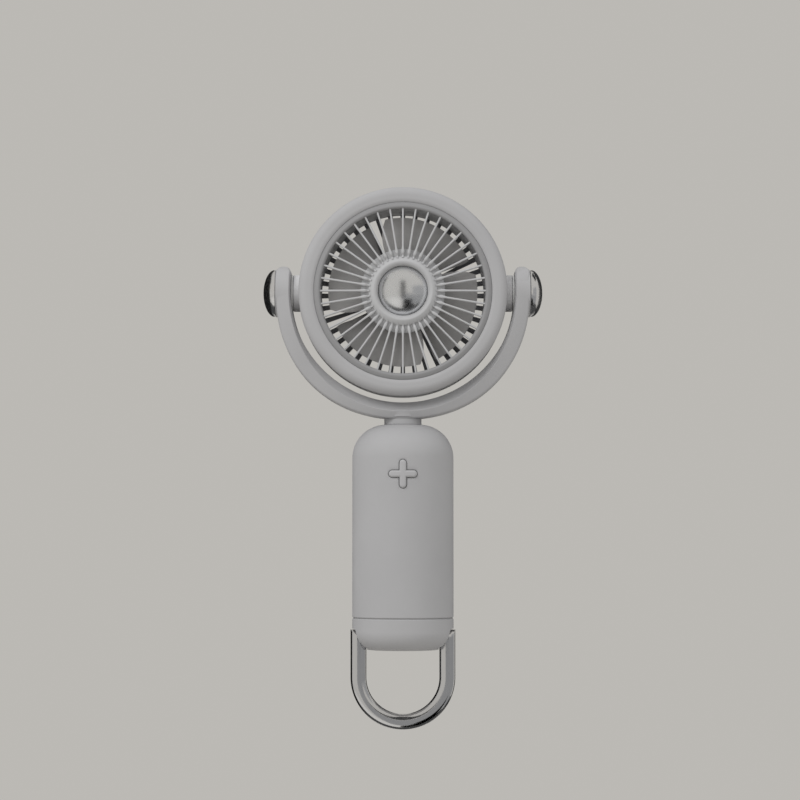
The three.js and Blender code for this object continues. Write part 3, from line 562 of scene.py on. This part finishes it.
def neck_ring():
    """Plain neck between the shoulder and the yoke's foot: a closed profile turned about Z."""
    foot, top = handle_high[2] + HAIRLINE, collar_high[2] + SEAT_GAP - HAIRLINE
    profile = np.array([(STUB_HOLE, foot), (NECK_RADIUS, foot), (NECK_RADIUS, top), (STUB_HOLE, top)])
    return turned(profile, "z", SMALL_SIDES, ring=True)


def loop_bar():
    """Carry loop: a rounded bar carried along two straight arms and a half-circle bend. The section is a
    superellipse, and each tip is a half circle about the pivot."""
    sides, square = 64, 0.72
    turn = (np.arange(sides) + 0.5) * 2 * np.pi / sides
    wide = signed_power(np.cos(turn), square) * LOOP_BAR_WIDTH / 2
    deep = signed_power(np.sin(turn), square)
    tip = np.radians(np.linspace(0, 90, 17))
    arm = np.linspace(0, 1, 9)[1:-1]
    bend = np.linspace(np.pi, 2 * np.pi, 97)
    arm_drop = LOOP_BEND_HEIGHT - LOOP_PIVOT_HEIGHT
    ones = np.ones_like
    x = np.concatenate([-LOOP_MIDDLE * ones(tip), -LOOP_MIDDLE * ones(arm), LOOP_MIDDLE * np.cos(bend)])
    z = np.concatenate([LOOP_BAR_HALF_DEPTH * np.cos(tip), arm_drop * arm, arm_drop + LOOP_MIDDLE * np.sin(bend)])
    across = np.concatenate([np.tile([-1, 0], (len(tip) + len(arm), 1)), np.stack([np.cos(bend), np.sin(bend)], 1)])
    depth = LOOP_BAR_HALF_DEPTH * np.concatenate([np.sin(tip), ones(arm), ones(bend)])
    flip = slice(len(tip) + len(arm) - 1, None, -1)
    x, z = np.concatenate([x, -x[flip]]), np.concatenate([z, z[flip]])
    across = np.concatenate([across, across[flip] * np.array([-1, 1])])
    depth = np.concatenate([depth, depth[flip]])
    grid = np.stack([
        x[:, None] + across[:, :1] * wide,
        depth[:, None] * deep + 0 * wide,
        LOOP_PIVOT_HEIGHT + z[:, None] + across[:, 1:] * wide,
    ], axis=-1)
    return closed_mesh([grid])


# Yoke and tilt pivot

PIVOT_GAP = 0.00015
PIVOT_BORE = 0.0029
WASHER_EDGE = 0.0001
SLEEVE_EDGE = 0.0003
PAD_PROUD = 0.0002
YOKE_INNER_HALF = washer_high[0] + PIVOT_GAP
YOKE_OUTER_HALF = yoke_high[0] - PAD_PROUD
YOKE_THICKNESS = YOKE_OUTER_HALF - YOKE_INNER_HALF
YOKE_GAP = 0.0022  # between the head and the band below it
YOKE_FOOT_OVER = 0.0006  # of the band's thickness at the foot
YOKE_INNER_DROP = HEAD_RADIUS + YOKE_GAP
YOKE_OUTER_DROP = YOKE_INNER_DROP + YOKE_THICKNESS + YOKE_FOOT_OVER
YOKE_SQUARENESS = 2.16
YOKE_FOOT_HALF = 0.0075
LUG_RADIUS = yoke_high[2] - TILT_HEIGHT


def yoke_section(rise):
    """Section as shares of thickness and half width: a flat inner side, a bevel that widens with the rise, a broad
    front face and a flat outer side, with small rounds between."""
    inner_edge, inner_round = 0.88 - 0.28 * rise ** 2, 0.03
    bevel_depth, bevel_round = 0.12 + 0.43 * rise ** 2, 0.05
    outer_edge, outer_round = 0.84, 0.16
    inner_start, outer_end = 0.1, 0.3
    half = rounded([
        (0, inner_start, 0),
        (0, inner_edge, inner_round),
        (bevel_depth, 1, bevel_round),
        (1, outer_edge, outer_round),
        (1, outer_end, 0),
    ], steps=6)
    return np.concatenate([half * [1, -1], half[::-1]])


def yoke_band():
    """C-shaped band about the tilt axis between an inner ellipse and an outer superellipse: its half width goes from
    the foot's to the lug's as the arch rises. Each lug is a half circle about the pivot, and its thickness shrinks
    about its middle as a circle's chord at the top."""
    turns = np.linspace(0, np.pi, 145)
    sections = np.array([yoke_section(math.sin(turn)) for turn in turns])
    share, side = sections[:, :, 0], sections[:, :, 1]
    turn = turns[:, None]
    rise = np.sin(turn)
    half = LUG_RADIUS + (YOKE_FOOT_HALF - LUG_RADIUS) * rise ** 2 * (3 - 2 * rise)
    power = 2 / YOKE_SQUARENESS
    across = signed_power(np.cos(turn), power)
    down = np.abs(rise) ** power
    arch = np.stack([
        (1 - share) * YOKE_INNER_HALF * np.cos(turn) + share * YOKE_OUTER_HALF * across,
        side * half,
        TILT_HEIGHT - (1 - share) * YOKE_INNER_DROP * rise - share * YOKE_OUTER_DROP * down,
    ], axis=-1)
    out, side = share[0] * YOKE_THICKNESS, side[0]
    middle = YOKE_THICKNESS / 2
    tip = np.linspace(0, np.pi / 2, 40)[:-1, None]
    height = LUG_RADIUS * np.cos(tip)
    past = np.clip((height - (LUG_RADIUS - middle)) / middle, 0, 1)
    keep = np.sqrt(1 - past ** 2)
    lug = np.stack([
        YOKE_INNER_HALF + middle + (out - middle) * keep,
        side * LUG_RADIUS * np.sin(tip),
        TILT_HEIGHT + height + 0 * out,
    ], axis=-1)
    other = lug[::-1] * np.array([-1, 1, 1])
    return closed_mesh([np.concatenate([lug, arch, other])])


def yoke_arm():
    """The band with its foot, its stub in the handle and a round pad under each knob. The foot flares into the band
    by a quarter circle."""
    pad_over, edge, stub_radius, fillet = 0.0001, 0.0002, 0.0043, 0.0007
    pad_radius = knob_high[1] + pad_over
    pad_face, pad_foot = yoke_high[0], YOKE_INNER_HALF + YOKE_THICKNESS / 2
    pad = rounded([
        (0, pad_foot, 0),
        (pad_radius, pad_foot, 0),
        (pad_radius, pad_face, edge),
        (0, pad_face, 0),
    ])
    right = turned(pad, "x")
    foot_face = collar_high[2] + SEAT_GAP
    band_middle = TILT_HEIGHT - YOKE_INNER_DROP - YOKE_THICKNESS / 2
    foot = np.concatenate([
        [(0, yoke_low[2]), (stub_radius - edge, yoke_low[2]), (stub_radius, yoke_low[2] + edge)],
        [(stub_radius, foot_face), (NECK_RADIUS, foot_face)],
        ellipse_arc((NECK_RADIUS + fillet, foot_face), fillet, 180, 90, 6)[1:],
        [(NECK_RADIUS + fillet, band_middle), (0, band_middle)],
    ])
    stem = turned(foot, "z", SMALL_SIDES)
    return combined(yoke_band(), [right, mirrored(right), stem], "UNION")


def knob():
    """Polished knob: a short straight rim and an elliptical dome, turned about X, with a blind hole for the pin."""
    foot, end, radius = knob_low[0], knob_high[0], knob_high[1]
    rim, edge, hole, hole_depth = 0.00015, 0.00005, 0.00265, 0.0022
    profile = np.concatenate([
        [(0, foot + hole_depth), (hole, foot + hole_depth), (hole, foot)],
        [(radius - edge, foot), (radius, foot + edge)],
        ellipse_arc((0, foot + rim), (radius, end - foot - rim), 0, 90, 40),
    ])
    return turned(profile, "x")


def pivot_ring(inner, outer, edge):
    """Short tube about the tilt axis between two distances from the middle, with rounded edges, turned about X."""
    radius = sleeve_high[1]
    profile = rounded([
        (PIVOT_BORE, inner, 0),
        (radius, inner, edge),
        (radius, outer, edge),
        (PIVOT_BORE, outer, 0),
    ], steps=4)
    return turned(profile, "x", ring=True)


# Head

SEAM_FRONT = bezel_high[1]
CREST_FRONT = bezel_low[1]
BEZEL_WIDTH = 0.0064
LIP_WIDTH = 0.0015
LIP_RADIUS = HEAD_RADIUS - BEZEL_WIDTH
DUCT_RADIUS = LIP_RADIUS - LIP_WIDTH
RIB_COUNT = 40
BEZEL_ROUND = 0.0024
BEZEL_END = 128  # degrees of the inner round at which the lip meets it


def bezel_ring():
    """Front ring: an arched crest between the seam and a round inner edge, which ends in mid-curve where the lip
    meets it, hollow behind, turned about Y."""
    outer_round, drop, edge = 0.003, 0.0028, 0.0002
    crest = HEAD_RADIUS - outer_round
    shoulder = CREST_FRONT + drop
    inner_edge = (LIP_RADIUS + BEZEL_ROUND, CREST_FRONT + BEZEL_ROUND)
    inner = ellipse_arc(inner_edge, (BEZEL_ROUND, -BEZEL_ROUND), 90, BEZEL_END, 12)
    profile = np.concatenate([
        [(HEAD_RADIUS - edge, SEAM_FRONT), (HEAD_RADIUS, SEAM_FRONT - edge)],
        ellipse_arc((crest, shoulder), (outer_round, -drop), 0, 90, 20),
        inner,
        [(inner[-1][0], SEAM_FRONT), (inner[-1][0] + DUCT_WALL, SEAM_FRONT)],
        [(inner[-1][0] + DUCT_WALL, CREST_FRONT + SHELL_WALL), (crest, CREST_FRONT + SHELL_WALL)],
        [(HEAD_RADIUS - SHELL_WALL, shoulder), (HEAD_RADIUS - SHELL_WALL, SEAM_FRONT)],
    ])
    return turned(profile, "y", ring=True)


REBATE_WIDTH = 0.0017
REBATE_DEPTH = 0.0031
REBATE_BED = shell_high[1] - REBATE_DEPTH


def rear_housing():
    """Rear ring: side, rounded rear corner and the rebate of the rear guard, turned about Y, with a hole on each side
    for the tilt sleeve."""
    edge, corner_share = 0.0003, 0.84
    front, back = SEAM_FRONT + 2 * HAIRLINE, shell_high[1]
    rim = DUCT_RADIUS + REBATE_WIDTH
    corner = (HEAD_RADIUS - rim) * corner_share
    inside = corner - SHELL_WALL
    centre = (HEAD_RADIUS - corner, back - corner)
    profile = np.concatenate([
        [(HEAD_RADIUS - edge, front), (HEAD_RADIUS, front + edge)],
        ellipse_arc(centre, corner, 0, 90, 24),
        [(rim + edge, back), (rim, back - edge), (rim, REBATE_BED)],
        ellipse_arc(centre, inside, 60, 0, 12),
        [(HEAD_RADIUS - SHELL_WALL, front)],
    ])
    shell = turned(profile, "y", ring=True)
    foot, overrun = DUCT_RADIUS + DUCT_WALL + SEAT_GAP, 0.002
    radius = sleeve_high[1] + HAIRLINE
    hole = turned(np.array([
        (0, foot),
        (radius, foot),
        (radius, HEAD_RADIUS + overrun),
        (0, HEAD_RADIUS + overrun),
    ]), "x")
    return combined(shell, [hole, mirrored(hole)], "DIFFERENCE")


def duct_liner():
    """Inner wall of the air duct, from the grille's lip to the rear guard, turned about Y."""
    edge = 0.0002
    profile = rounded([
        (DUCT_RADIUS, SEAM_FRONT, edge),
        (DUCT_RADIUS, REBATE_BED, edge),
        (DUCT_RADIUS + DUCT_WALL, REBATE_BED, edge),
        (DUCT_RADIUS + DUCT_WALL, SEAM_FRONT, edge),
    ], steps=3)
    return turned(profile, "y", ring=True)


HUB_RADIUS = 0.0122
HUB_GROOVE = dome_high[0] + HAIRLINE
HUB_FRONT = grille_low[1]
HUB_RECESS, HUB_PLATE, SKIRT_WIDTH = 0.002, 0.0018, 0.0029
SKIRT_RADIUS = HUB_RADIUS + SKIRT_WIDTH
HUB_FLOOR = HUB_FRONT + HUB_RECESS
HUB_BACK = HUB_FLOOR + HUB_PLATE
GRILLE_BACK = SEAM_FRONT - SEAT_GAP
LIP_RISE, LIP_FALL = 0.0005, 0.0012
LIP_FRONT = CREST_FRONT + BEZEL_ROUND * (1 - math.sin(math.radians(BEZEL_END)))
LIP_CREST = LIP_FRONT - LIP_RISE
LIP_EDGE = LIP_CREST + LIP_FALL


def grille_lip():
    """Lip between the bezel and the duct: a cone that falls outward and rolls over into the duct, turned about Y."""
    outer = LIP_RADIUS + BEZEL_ROUND * (1 + math.cos(math.radians(BEZEL_END))) - HAIRLINE
    roll, edge = 0.0009, 0.0001
    profile = np.concatenate([
        [(outer, LIP_FRONT + edge), (outer - edge, LIP_FRONT)],
        ellipse_arc((DUCT_RADIUS + roll, LIP_EDGE), (roll, LIP_CREST - LIP_EDGE), 75, 180, 12),
        [(DUCT_RADIUS, GRILLE_BACK), (outer, GRILLE_BACK)],
    ])
    return turned(profile, "y", ring=True)


def hub_ring():
    """Hub of the grille: a ring that falls away from its crest like a cone and rolls over to the dome, and a skirt
    below it, turned about Y."""
    crest, fall, edge, step, drop = 0.0106, 0.0012, 0.0003, 0.0003, 0.0022
    roll_start, roll_stretch = 150, 1.2
    roll = (HUB_GROOVE - crest) / math.cos(math.radians(roll_start))
    roll_depth = roll_stretch * roll
    profile = np.concatenate([
        [(0, HUB_FLOOR), (HUB_GROOVE, HUB_FLOOR)],
        ellipse_arc((crest, HUB_FRONT + roll_depth), (roll, -roll_depth), roll_start, 90, 12),
        rounded([
            (crest + edge, HUB_FRONT + edge / 2, 0),
            (HUB_RADIUS, HUB_FRONT + fall, edge),
            (HUB_RADIUS + step, HUB_FRONT + fall + 2 * step, 0),
            (SKIRT_RADIUS, HUB_FRONT + drop, edge),
            (SKIRT_RADIUS, HUB_BACK, edge),
            (0, HUB_BACK, 0),
        ]),
    ])
    return turned(profile, "y")


def around_head(grid):
    """The grid of a rib or bar along the head's radius, copied to each rib's place about the head's axis."""
    copies = []
    for turn in np.arange(RIB_COUNT) * 2 * math.pi / RIB_COUNT:
        c, s = math.cos(turn), math.sin(turn)
        x, y, z = grid[..., 0], grid[..., 1], grid[..., 2]
        copies.append(np.stack([x * c - z * s, y, x * s + z * c], axis=-1) + np.array(HEAD_CENTRE))
    return copies


def rib_fan():
    """Forty radial ribs: a slender section with a round front, carried outwards along a domed line whose depth falls
    off as a power of the radius. Beside the hub each starts low and swells into a bead, by bell curves of the
    radius."""
    width, depth, dome, back_share = 0.0007, 0.0018, 1.4, 0.8
    bead_width, bead_radius, bead_reach = 0.0012, HUB_RADIUS + 0.0019, 0.0010
    dip, dip_radius, dip_reach = 0.0007, HUB_RADIUS + 0.0005, 0.0006
    sink, lap = 0.0003, 0.0006
    start, end = HUB_RADIUS - sink, DUCT_RADIUS + lap
    root, tip = HUB_FRONT + sink, LIP_EDGE - 2 * sink
    fine_share = 0.25
    along = np.concatenate([np.linspace(0, fine_share, 24), np.linspace(fine_share, 1, 16)[1:]])[:, None]
    radius = start + (end - start) * along
    front = root + (tip - root) * along ** dome + dip * np.exp(-((radius - dip_radius) / dip_reach) ** 2)
    half = (width + (bead_width - width) * np.exp(-((radius - bead_radius) / bead_reach) ** 2)) / 2
    turn = np.radians(np.linspace(0, 180, 9))
    side = half * np.concatenate([np.cos(turn), [-back_share, back_share]])
    bow = half * (1 - np.concatenate([np.sin(turn), [1.0, 1.0]]))
    deep = np.concatenate([np.zeros(len(turn)), [depth, depth]])
    rib = np.stack([radius + 0 * side, front + bow + deep, side], axis=-1)
    return closed_mesh(around_head(capped(rib)))


def hub_dome():
    """Polished cap on the hub: the middle part of a wider elliptical dome, on a short side, turned about Y."""
    foot, end, radius = dome_high[1], dome_low[1], dome_high[0]
    side, cut = 0.0002, 26
    wide = radius / math.cos(math.radians(cut))
    deep = (foot - side - end) / (1 - math.sin(math.radians(cut)))
    profile = np.concatenate([
        [(0, foot), (radius, foot)],
        ellipse_arc((0, end + deep), (wide, -deep), cut, 90, 48),
    ])
    return turned(profile, "y")


def rotor_blades():
    """Rotor: a cup-shaped hub turned about Y and four twisted, cambered blades. A blade's section runs round its two
    faces, its chord is an arc about the axis, and it comes forward along the chord. The front corner of its tip is
    trimmed by a square of the length, and the rear one by its sixth power."""
    front, back = rotor_low[1], rotor_high[1]
    hub_radius, corner, wall, boss, bore, edge = 0.0092, 0.0024, 0.0014, 0.0024, 0.0009, 0.0003
    hub = rounded([
        (0, front, 0),
        (hub_radius, front, corner),
        (hub_radius, back, edge),
        (hub_radius - wall, back, 0),
        (hub_radius - wall, front + wall, corner - wall),
        (boss, front + wall, edge),
        (boss, back, 0),
        (bore, back, 0),
        (bore, front + wall, 0),
        (0, front + wall, 0),
    ])
    inset, span, sweep, first = 0.0012, math.radians(85), math.radians(8), math.radians(75)
    camber, thickness, tip_gap, blades = 0.0007, 0.0011, 0.0027, 4
    trim_from, front_trim, rear_trim, edge_thin = 0.4, 0.14, 0.05, 0.55
    chord_square, face_square = 0.9, 0.45
    root, tip = hub_radius - wall / 2, DUCT_RADIUS - tip_gap
    share = np.concatenate([np.linspace(0, trim_from, 10), np.linspace(trim_from, 1, 30)[1:], [1.0]])[:, None]
    past = np.clip((share - trim_from) / (1 - trim_from), 0, 1)
    turn = np.linspace(0, 2 * np.pi, 72, endpoint=False)[None, :]
    along = signed_power(np.cos(turn), chord_square)
    face = signed_power(np.sin(turn), face_square)
    closing = np.ones_like(share)
    closing[-1] = 0
    trim = np.where(along > 0, 1 - front_trim * past ** 2, 1 - rear_trim * past ** 6)
    angle = first - sweep * share + along * trim * span / 2
    chord = (back - front) / 2 - inset
    y = (front + back) / 2 - chord * along - camber * (1 - along ** 2)
    y = y + face * closing * thickness / 2 * (1 - edge_thin * along ** 2)
    radius = root + (tip - root) * share
    tools = []
    for quarter in range(blades):
        around = angle + quarter * 2 * math.pi / blades
        blade = np.stack([radius * np.cos(around), y, radius * np.sin(around)], axis=-1) + np.array(HEAD_CENTRE)
        tools.append(closed_mesh([capped(blade)[:-1]]))
    return combined(turned(hub, "y", SMALL_SIDES), tools, "UNION")


def rear_guard():
    """Rear guard: a rim in the housing's rebate and a cup round the motor, turned about Y, and wedge-shaped bars."""
    rim_front, rim_thickness, edge = REBATE_BED + SEAT_GAP, 0.0018, 0.0003
    cup_inner, cup_wall, cup_floor, cup_corner = 0.0093, 0.0016, 0.0013, 0.0012
    cup_front, cup_end = guard_low[1], guard_high[1]
    rim_back, rim_outer = rim_front + rim_thickness, guard_high[0]
    rim = rounded([
        (rim_outer, rim_front, edge),
        (rim_outer, rim_back, edge),
        (DUCT_RADIUS, rim_back, edge),
        (DUCT_RADIUS, rim_front, edge),
    ], steps=4)
    cup = rounded([
        (0, cup_end - cup_floor, 0),
        (cup_inner, cup_end - cup_floor, 0),
        (cup_inner, cup_front, 0),
        (cup_inner + cup_wall, cup_front, edge),
        (cup_inner + cup_wall, cup_end, cup_corner),
        (0, cup_end, 0),
    ])
    pitch_share, bar_round = 0.38, 0.3
    half = math.pi / RIB_COUNT * pitch_share
    section = rounded([(-1, 0, 0), (1, 0, 0), (1, 1, bar_round), (-1, 1, bar_round)], steps=4)
    radius = np.linspace(cup_inner + cup_wall / 2, (DUCT_RADIUS + rim_outer) / 2, 12)[:, None]
    side = section[:, 0] * half * radius
    depth = rim_front + section[:, 1] * rim_thickness + 0 * side
    bars = around_head(capped(np.stack([radius + 0 * side, depth, side], axis=-1)))
    return {
        "guard_rim": turned(rim, "y", ring=True),
        "motor_cup": turned(cup, "y", SMALL_SIDES),
        "guard_bars": closed_mesh(bars),
    }


satin = spun_metal("satin_dome_metal", SATIN_COLOUR, 0.26, HEAD_CENTRE)

piece("handle_tube", handle_tube(), "handle", shell_plastic, "pale_shell", "handle_shell")
piece("base_cup", base_cup(), "handle", shell_plastic, "pale_shell", "base_cap")
piece("neck_ring", neck_ring(), "handle", shell_plastic, "pale_shell", "neck_collar")
piece("socket_shell", socket_shell(), "handle", steel, "plain_steel", "charging_socket")
piece("socket_tongue", socket_tongue(), "handle", black_plastic, "black_plastic")
piece("yoke_arm", yoke_arm(), "handle", shell_plastic, "pale_shell", "yoke")
piece("button_plus", button_plus(), "button", button_plastic, "pale_button", "power_button")
piece("loop_bar", loop_bar(), "loop", chrome, "bright_chrome", "carry_loop")

right_pieces = [
    knob(),
    pivot_ring(washer_low[0], washer_high[0], WASHER_EDGE),
    pivot_ring(sleeve_low[0], sleeve_high[0], SLEEVE_EDGE),
]
left_pieces = [mirrored(mesh) for mesh in right_pieces]
# The sleeves wear the lightened copy of the shell plastic, painted light
for side, (cap, washer, sleeve) in (("right", right_pieces), ("left", left_pieces)):
    piece(f"knob_{side}", cap, "handle", knob_painted_light_metal, "bright_chrome", f"knob_cap_{side}")
    piece(f"washer_{side}", washer, "handle", nylon, "nylon_washer", f"friction_washer_{side}")
    piece(f"sleeve_{side}", sleeve, "head", sleeve_painted_light_plastic, "pale_shell", f"tilt_sleeve_{side}")

# Bezel and rear housing wear the slightly lightened copy of the shell plastic, painted light
piece("bezel_ring", bezel_ring(), "head", head_painted_light_plastic, "pale_shell", "front_bezel")
piece("rear_housing", rear_housing(), "head", head_painted_light_plastic, "pale_shell", "rear_shell")
piece("duct_liner", duct_liner(), "head", duct_plastic, "black_plastic", "rear_shell")
piece("rib_fan", rib_fan(), "head", grille_plastic, "pale_grille", "front_grille")
# The lip wears the darkened copy of the shell plastic, painted shade
piece("grille_lip", grille_lip(), "head", lip_painted_shade_plastic, "pale_grille", "front_grille")
piece("hub_ring", hub_ring(), "head", grille_plastic, "pale_grille", "front_grille")
piece("hub_dome", hub_dome(), "head", satin, "satin_metal", "hub_cap")
# The rear guard's pieces wear the darkened grey, painted shade
for name, mesh in rear_guard().items():
    piece(name, mesh, "head", guard_shade_plastic, "black_plastic", "rear_grille")
piece("rotor_blades", rotor_blades(), "rotor", rotor_plastic, "grey_rotor", "fan_rotor")

# Frame's nodes that stay inside
inner_finishes = [
    (cell_film, ["battery_cell"]),
    (black_plastic, ["cell_carrier", "push_switch"]),
    (laminate, ["main_board", "charge_board"]),
    (steel, ["neck_nut", "pivot_pin_right", "pivot_pin_left", "loop_pin_right", "loop_pin_left"]),
    (steel, ["motor_body", "motor_shaft"]),
]
for material, names in inner_finishes:
    for name in names:
        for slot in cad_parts[name].material_slots:
            slot.material = material


# Studio

BACKDROP_COLOUR = (0.50, 0.486, 0.459)
FLOOR_COLOUR = (0.66, 0.645, 0.615)
WORLD_STRENGTH = 0.65
AIM = (0, 0, 0.09)
SOFTBOX_SIDE = 0.9


def mixed(tree, share, first, second):
    """Shader that goes from the first node's to the second's as a share goes from 0 to 1."""
    inputs = {"Fac": share, 1: first.outputs[0], 2: second.outputs[0]}
    return add_node(tree, "ShaderNodeMixShader", inputs).outputs[0]


def floor_paint(name, colour, clear_from, clear_at):
    """Pale floor paint that fades out with the distance from the object, so that no edge of the floor shows."""
    material, tree, shader, place = new_finish(name, {"Roughness": 0.9, "Specular IOR Level": 0.1})
    clouds = noise(tree, place, 2.0)
    tree.links.new(blended(tree, clouds, shade(colour, 0.99), colour), shader.inputs["Base Color"])
    distance = add_node(tree, "ShaderNodeVectorMath", {0: place}, {"operation": "LENGTH"})
    fade = add_node(tree, "ShaderNodeMapRange", {
        "Value": distance.outputs["Value"], "From Min": clear_from, "From Max": clear_at})
    clear = add_node(tree, "ShaderNodeBsdfTransparent")
    mix = mixed(tree, fade.outputs["Result"], shader, clear)
    tree.links.new(mix, tree.nodes["Material Output"].inputs["Surface"])
    return material


def stage_quad(name, corners, material):
    """Flat stage piece through four corners."""
    mesh = bpy.data.meshes.new(name)
    mesh.from_pydata(corners, [], [(0, 1, 2, 3)])
    mesh.materials.append(material)
    made = placed(name, mesh)
    return made


def level_corners(sides, depths, height):
    """Corners of a level rectangle between two sides and two depths."""
    (left, right), (front, back) = sides, depths
    return [(left, front, height), (right, front, height), (right, back, height), (left, back, height)]


def studio_floor():
    """Square floor well below the object."""
    height, half, clear_from, clear_at = -0.6, 4.0, 2.4, 3.8
    paint = floor_paint("pale_floor", FLOOR_COLOUR, clear_from, clear_at)
    stage_quad("floor", level_corners((-half, half), (-half, half), height), paint)


def pale_world(strength, seen):
    """Even light from all round. The camera and reflections see the pale backdrop."""
    world = bpy.data.worlds.new("studio")
    bpy.context.scene.world = world
    world.use_nodes = True
    tree = world.node_tree
    tree.nodes.clear()
    light = add_node(tree, "ShaderNodeBackground", {"Color": (1, 1, 1, 1), "Strength": strength})
    backdrop = add_node(tree, "ShaderNodeBackground", {"Color": (*seen, 1), "Strength": 1.0})
    path = add_node(tree, "ShaderNodeLightPath")
    seen_by = [path.outputs[f"Is {ray} Ray"] for ray in ("Camera", "Glossy", "Transmission")]
    either = add_node(tree, "ShaderNodeMath", {0: seen_by[0], 1: seen_by[1]}, {"operation": "ADD"})
    inputs = {0: either.outputs[0], 1: seen_by[2]}
    any_of = add_node(tree, "ShaderNodeMath", inputs, {"operation": "ADD", "use_clamp": True})
    mix = mixed(tree, any_of.outputs[0], light, backdrop)
    add_node(tree, "ShaderNodeOutputWorld", {"Surface": mix})


def softbox(name, place, power):
    """Square soft lamp that faces the object and doesn't show in reflections."""
    lamp = bpy.data.lights.new(name, "AREA")
    lamp.shape, lamp.size, lamp.energy = "SQUARE", SOFTBOX_SIDE, power
    made = placed(name, lamp)
    made.location = place
    direction = Vector(AIM) - Vector(place)
    made.rotation_euler = direction.to_track_quat("-Z", "Y").to_euler()
    made.visible_glossy = False


def reflected_card(name, corners, brightness):
    """Flat card through four corners that only reflections see."""
    material = bpy.data.materials.new(name)
    material.use_nodes = True
    tree = material.node_tree
    tree.nodes.clear()
    glow = add_node(tree, "ShaderNodeEmission", {"Color": (1, 1, 1, 1), "Strength": brightness})
    add_node(tree, "ShaderNodeOutputMaterial", {"Surface": glow.outputs["Emission"]})
    card = stage_quad(name, corners, material)
    card.visible_camera = card.visible_diffuse = card.visible_shadow = False
    card.visible_transmission = card.visible_volume_scatter = False


def upright_card(name, azimuths, low, high, distance, brightness):
    """Reflected card that stands between two azimuths in degrees from the front and two heights."""
    first, second = [(distance * math.sin(a), -distance * math.cos(a)) for a in np.radians(azimuths)]
    reflected_card(name, [(*first, low), (*second, low), (*second, high), (*first, high)], brightness)


def level_card(name, sides, depths, height, brightness):
    """Reflected card that lies between two sides and two depths at one height."""
    reflected_card(name, level_corners(sides, depths, height), brightness)


def front_camera():
    """Camera in front of the handle, turned up a little to the middle of the picture. The width that it sees is
    taken at the object."""
    distance, height, aside = 1.0, 0.04, -0.00104
    view_width, view_middle = 0.2885, 0.0898
    rise = view_middle - height
    camera = bpy.data.cameras.new("camera")
    camera.sensor_width = 36.0
    camera.lens = camera.sensor_width * math.hypot(distance, rise) / view_width
    made = placed("camera", camera)
    made.location = (aside, -distance, height)
    made.rotation_euler = (math.pi / 2 + math.atan2(rise, distance), 0, 0)
    bpy.context.scene.camera = made


studio_floor()
pale_world(WORLD_STRENGTH, BACKDROP_COLOUR)
softbox("key", (-0.95, -1.06, 1.30), power=14.5)
softbox("fill", (1.1, -0.8, 1.0), power=2.0)

# Name, azimuths, low, high, distance, brightness
for card in (
    ("dark_card_right", (122, 172), -0.55, 1.0, 1.0, 0.03),
    ("dark_card_left", (-172, -82), -0.55, 1.0, 1.0, 0.01),
    ("dark_card_front", (5, 38), -0.53, -0.19, 0.62, 0.0),
    ("grey_card_high", (34, 88), 0.02, 0.45, 1.0, 0.32),
    ("grey_card_low", (-6, 88), -0.5, 0.02, 1.0, 0.27),
    ("lens_card", (-8, 8), 0.0, 0.36, 0.3, 0.05),
):
    upright_card(*card)

# Name, sides, depths, height, brightness
for card in (
    ("dark_card_above", (0.3, 1.4), (0.0, 0.6), 1.15, 0.03),
    ("dark_card_below", (-1.2, 1.2), (-0.28, 0.6), -0.55, 0.06),
    ("dark_card_low", (-0.02, 0.6), (-0.9, -0.28), -0.54, 0.0),
):
    level_card(*card)

front_camera()
bpy.context.scene.view_settings.view_transform = "Standard"
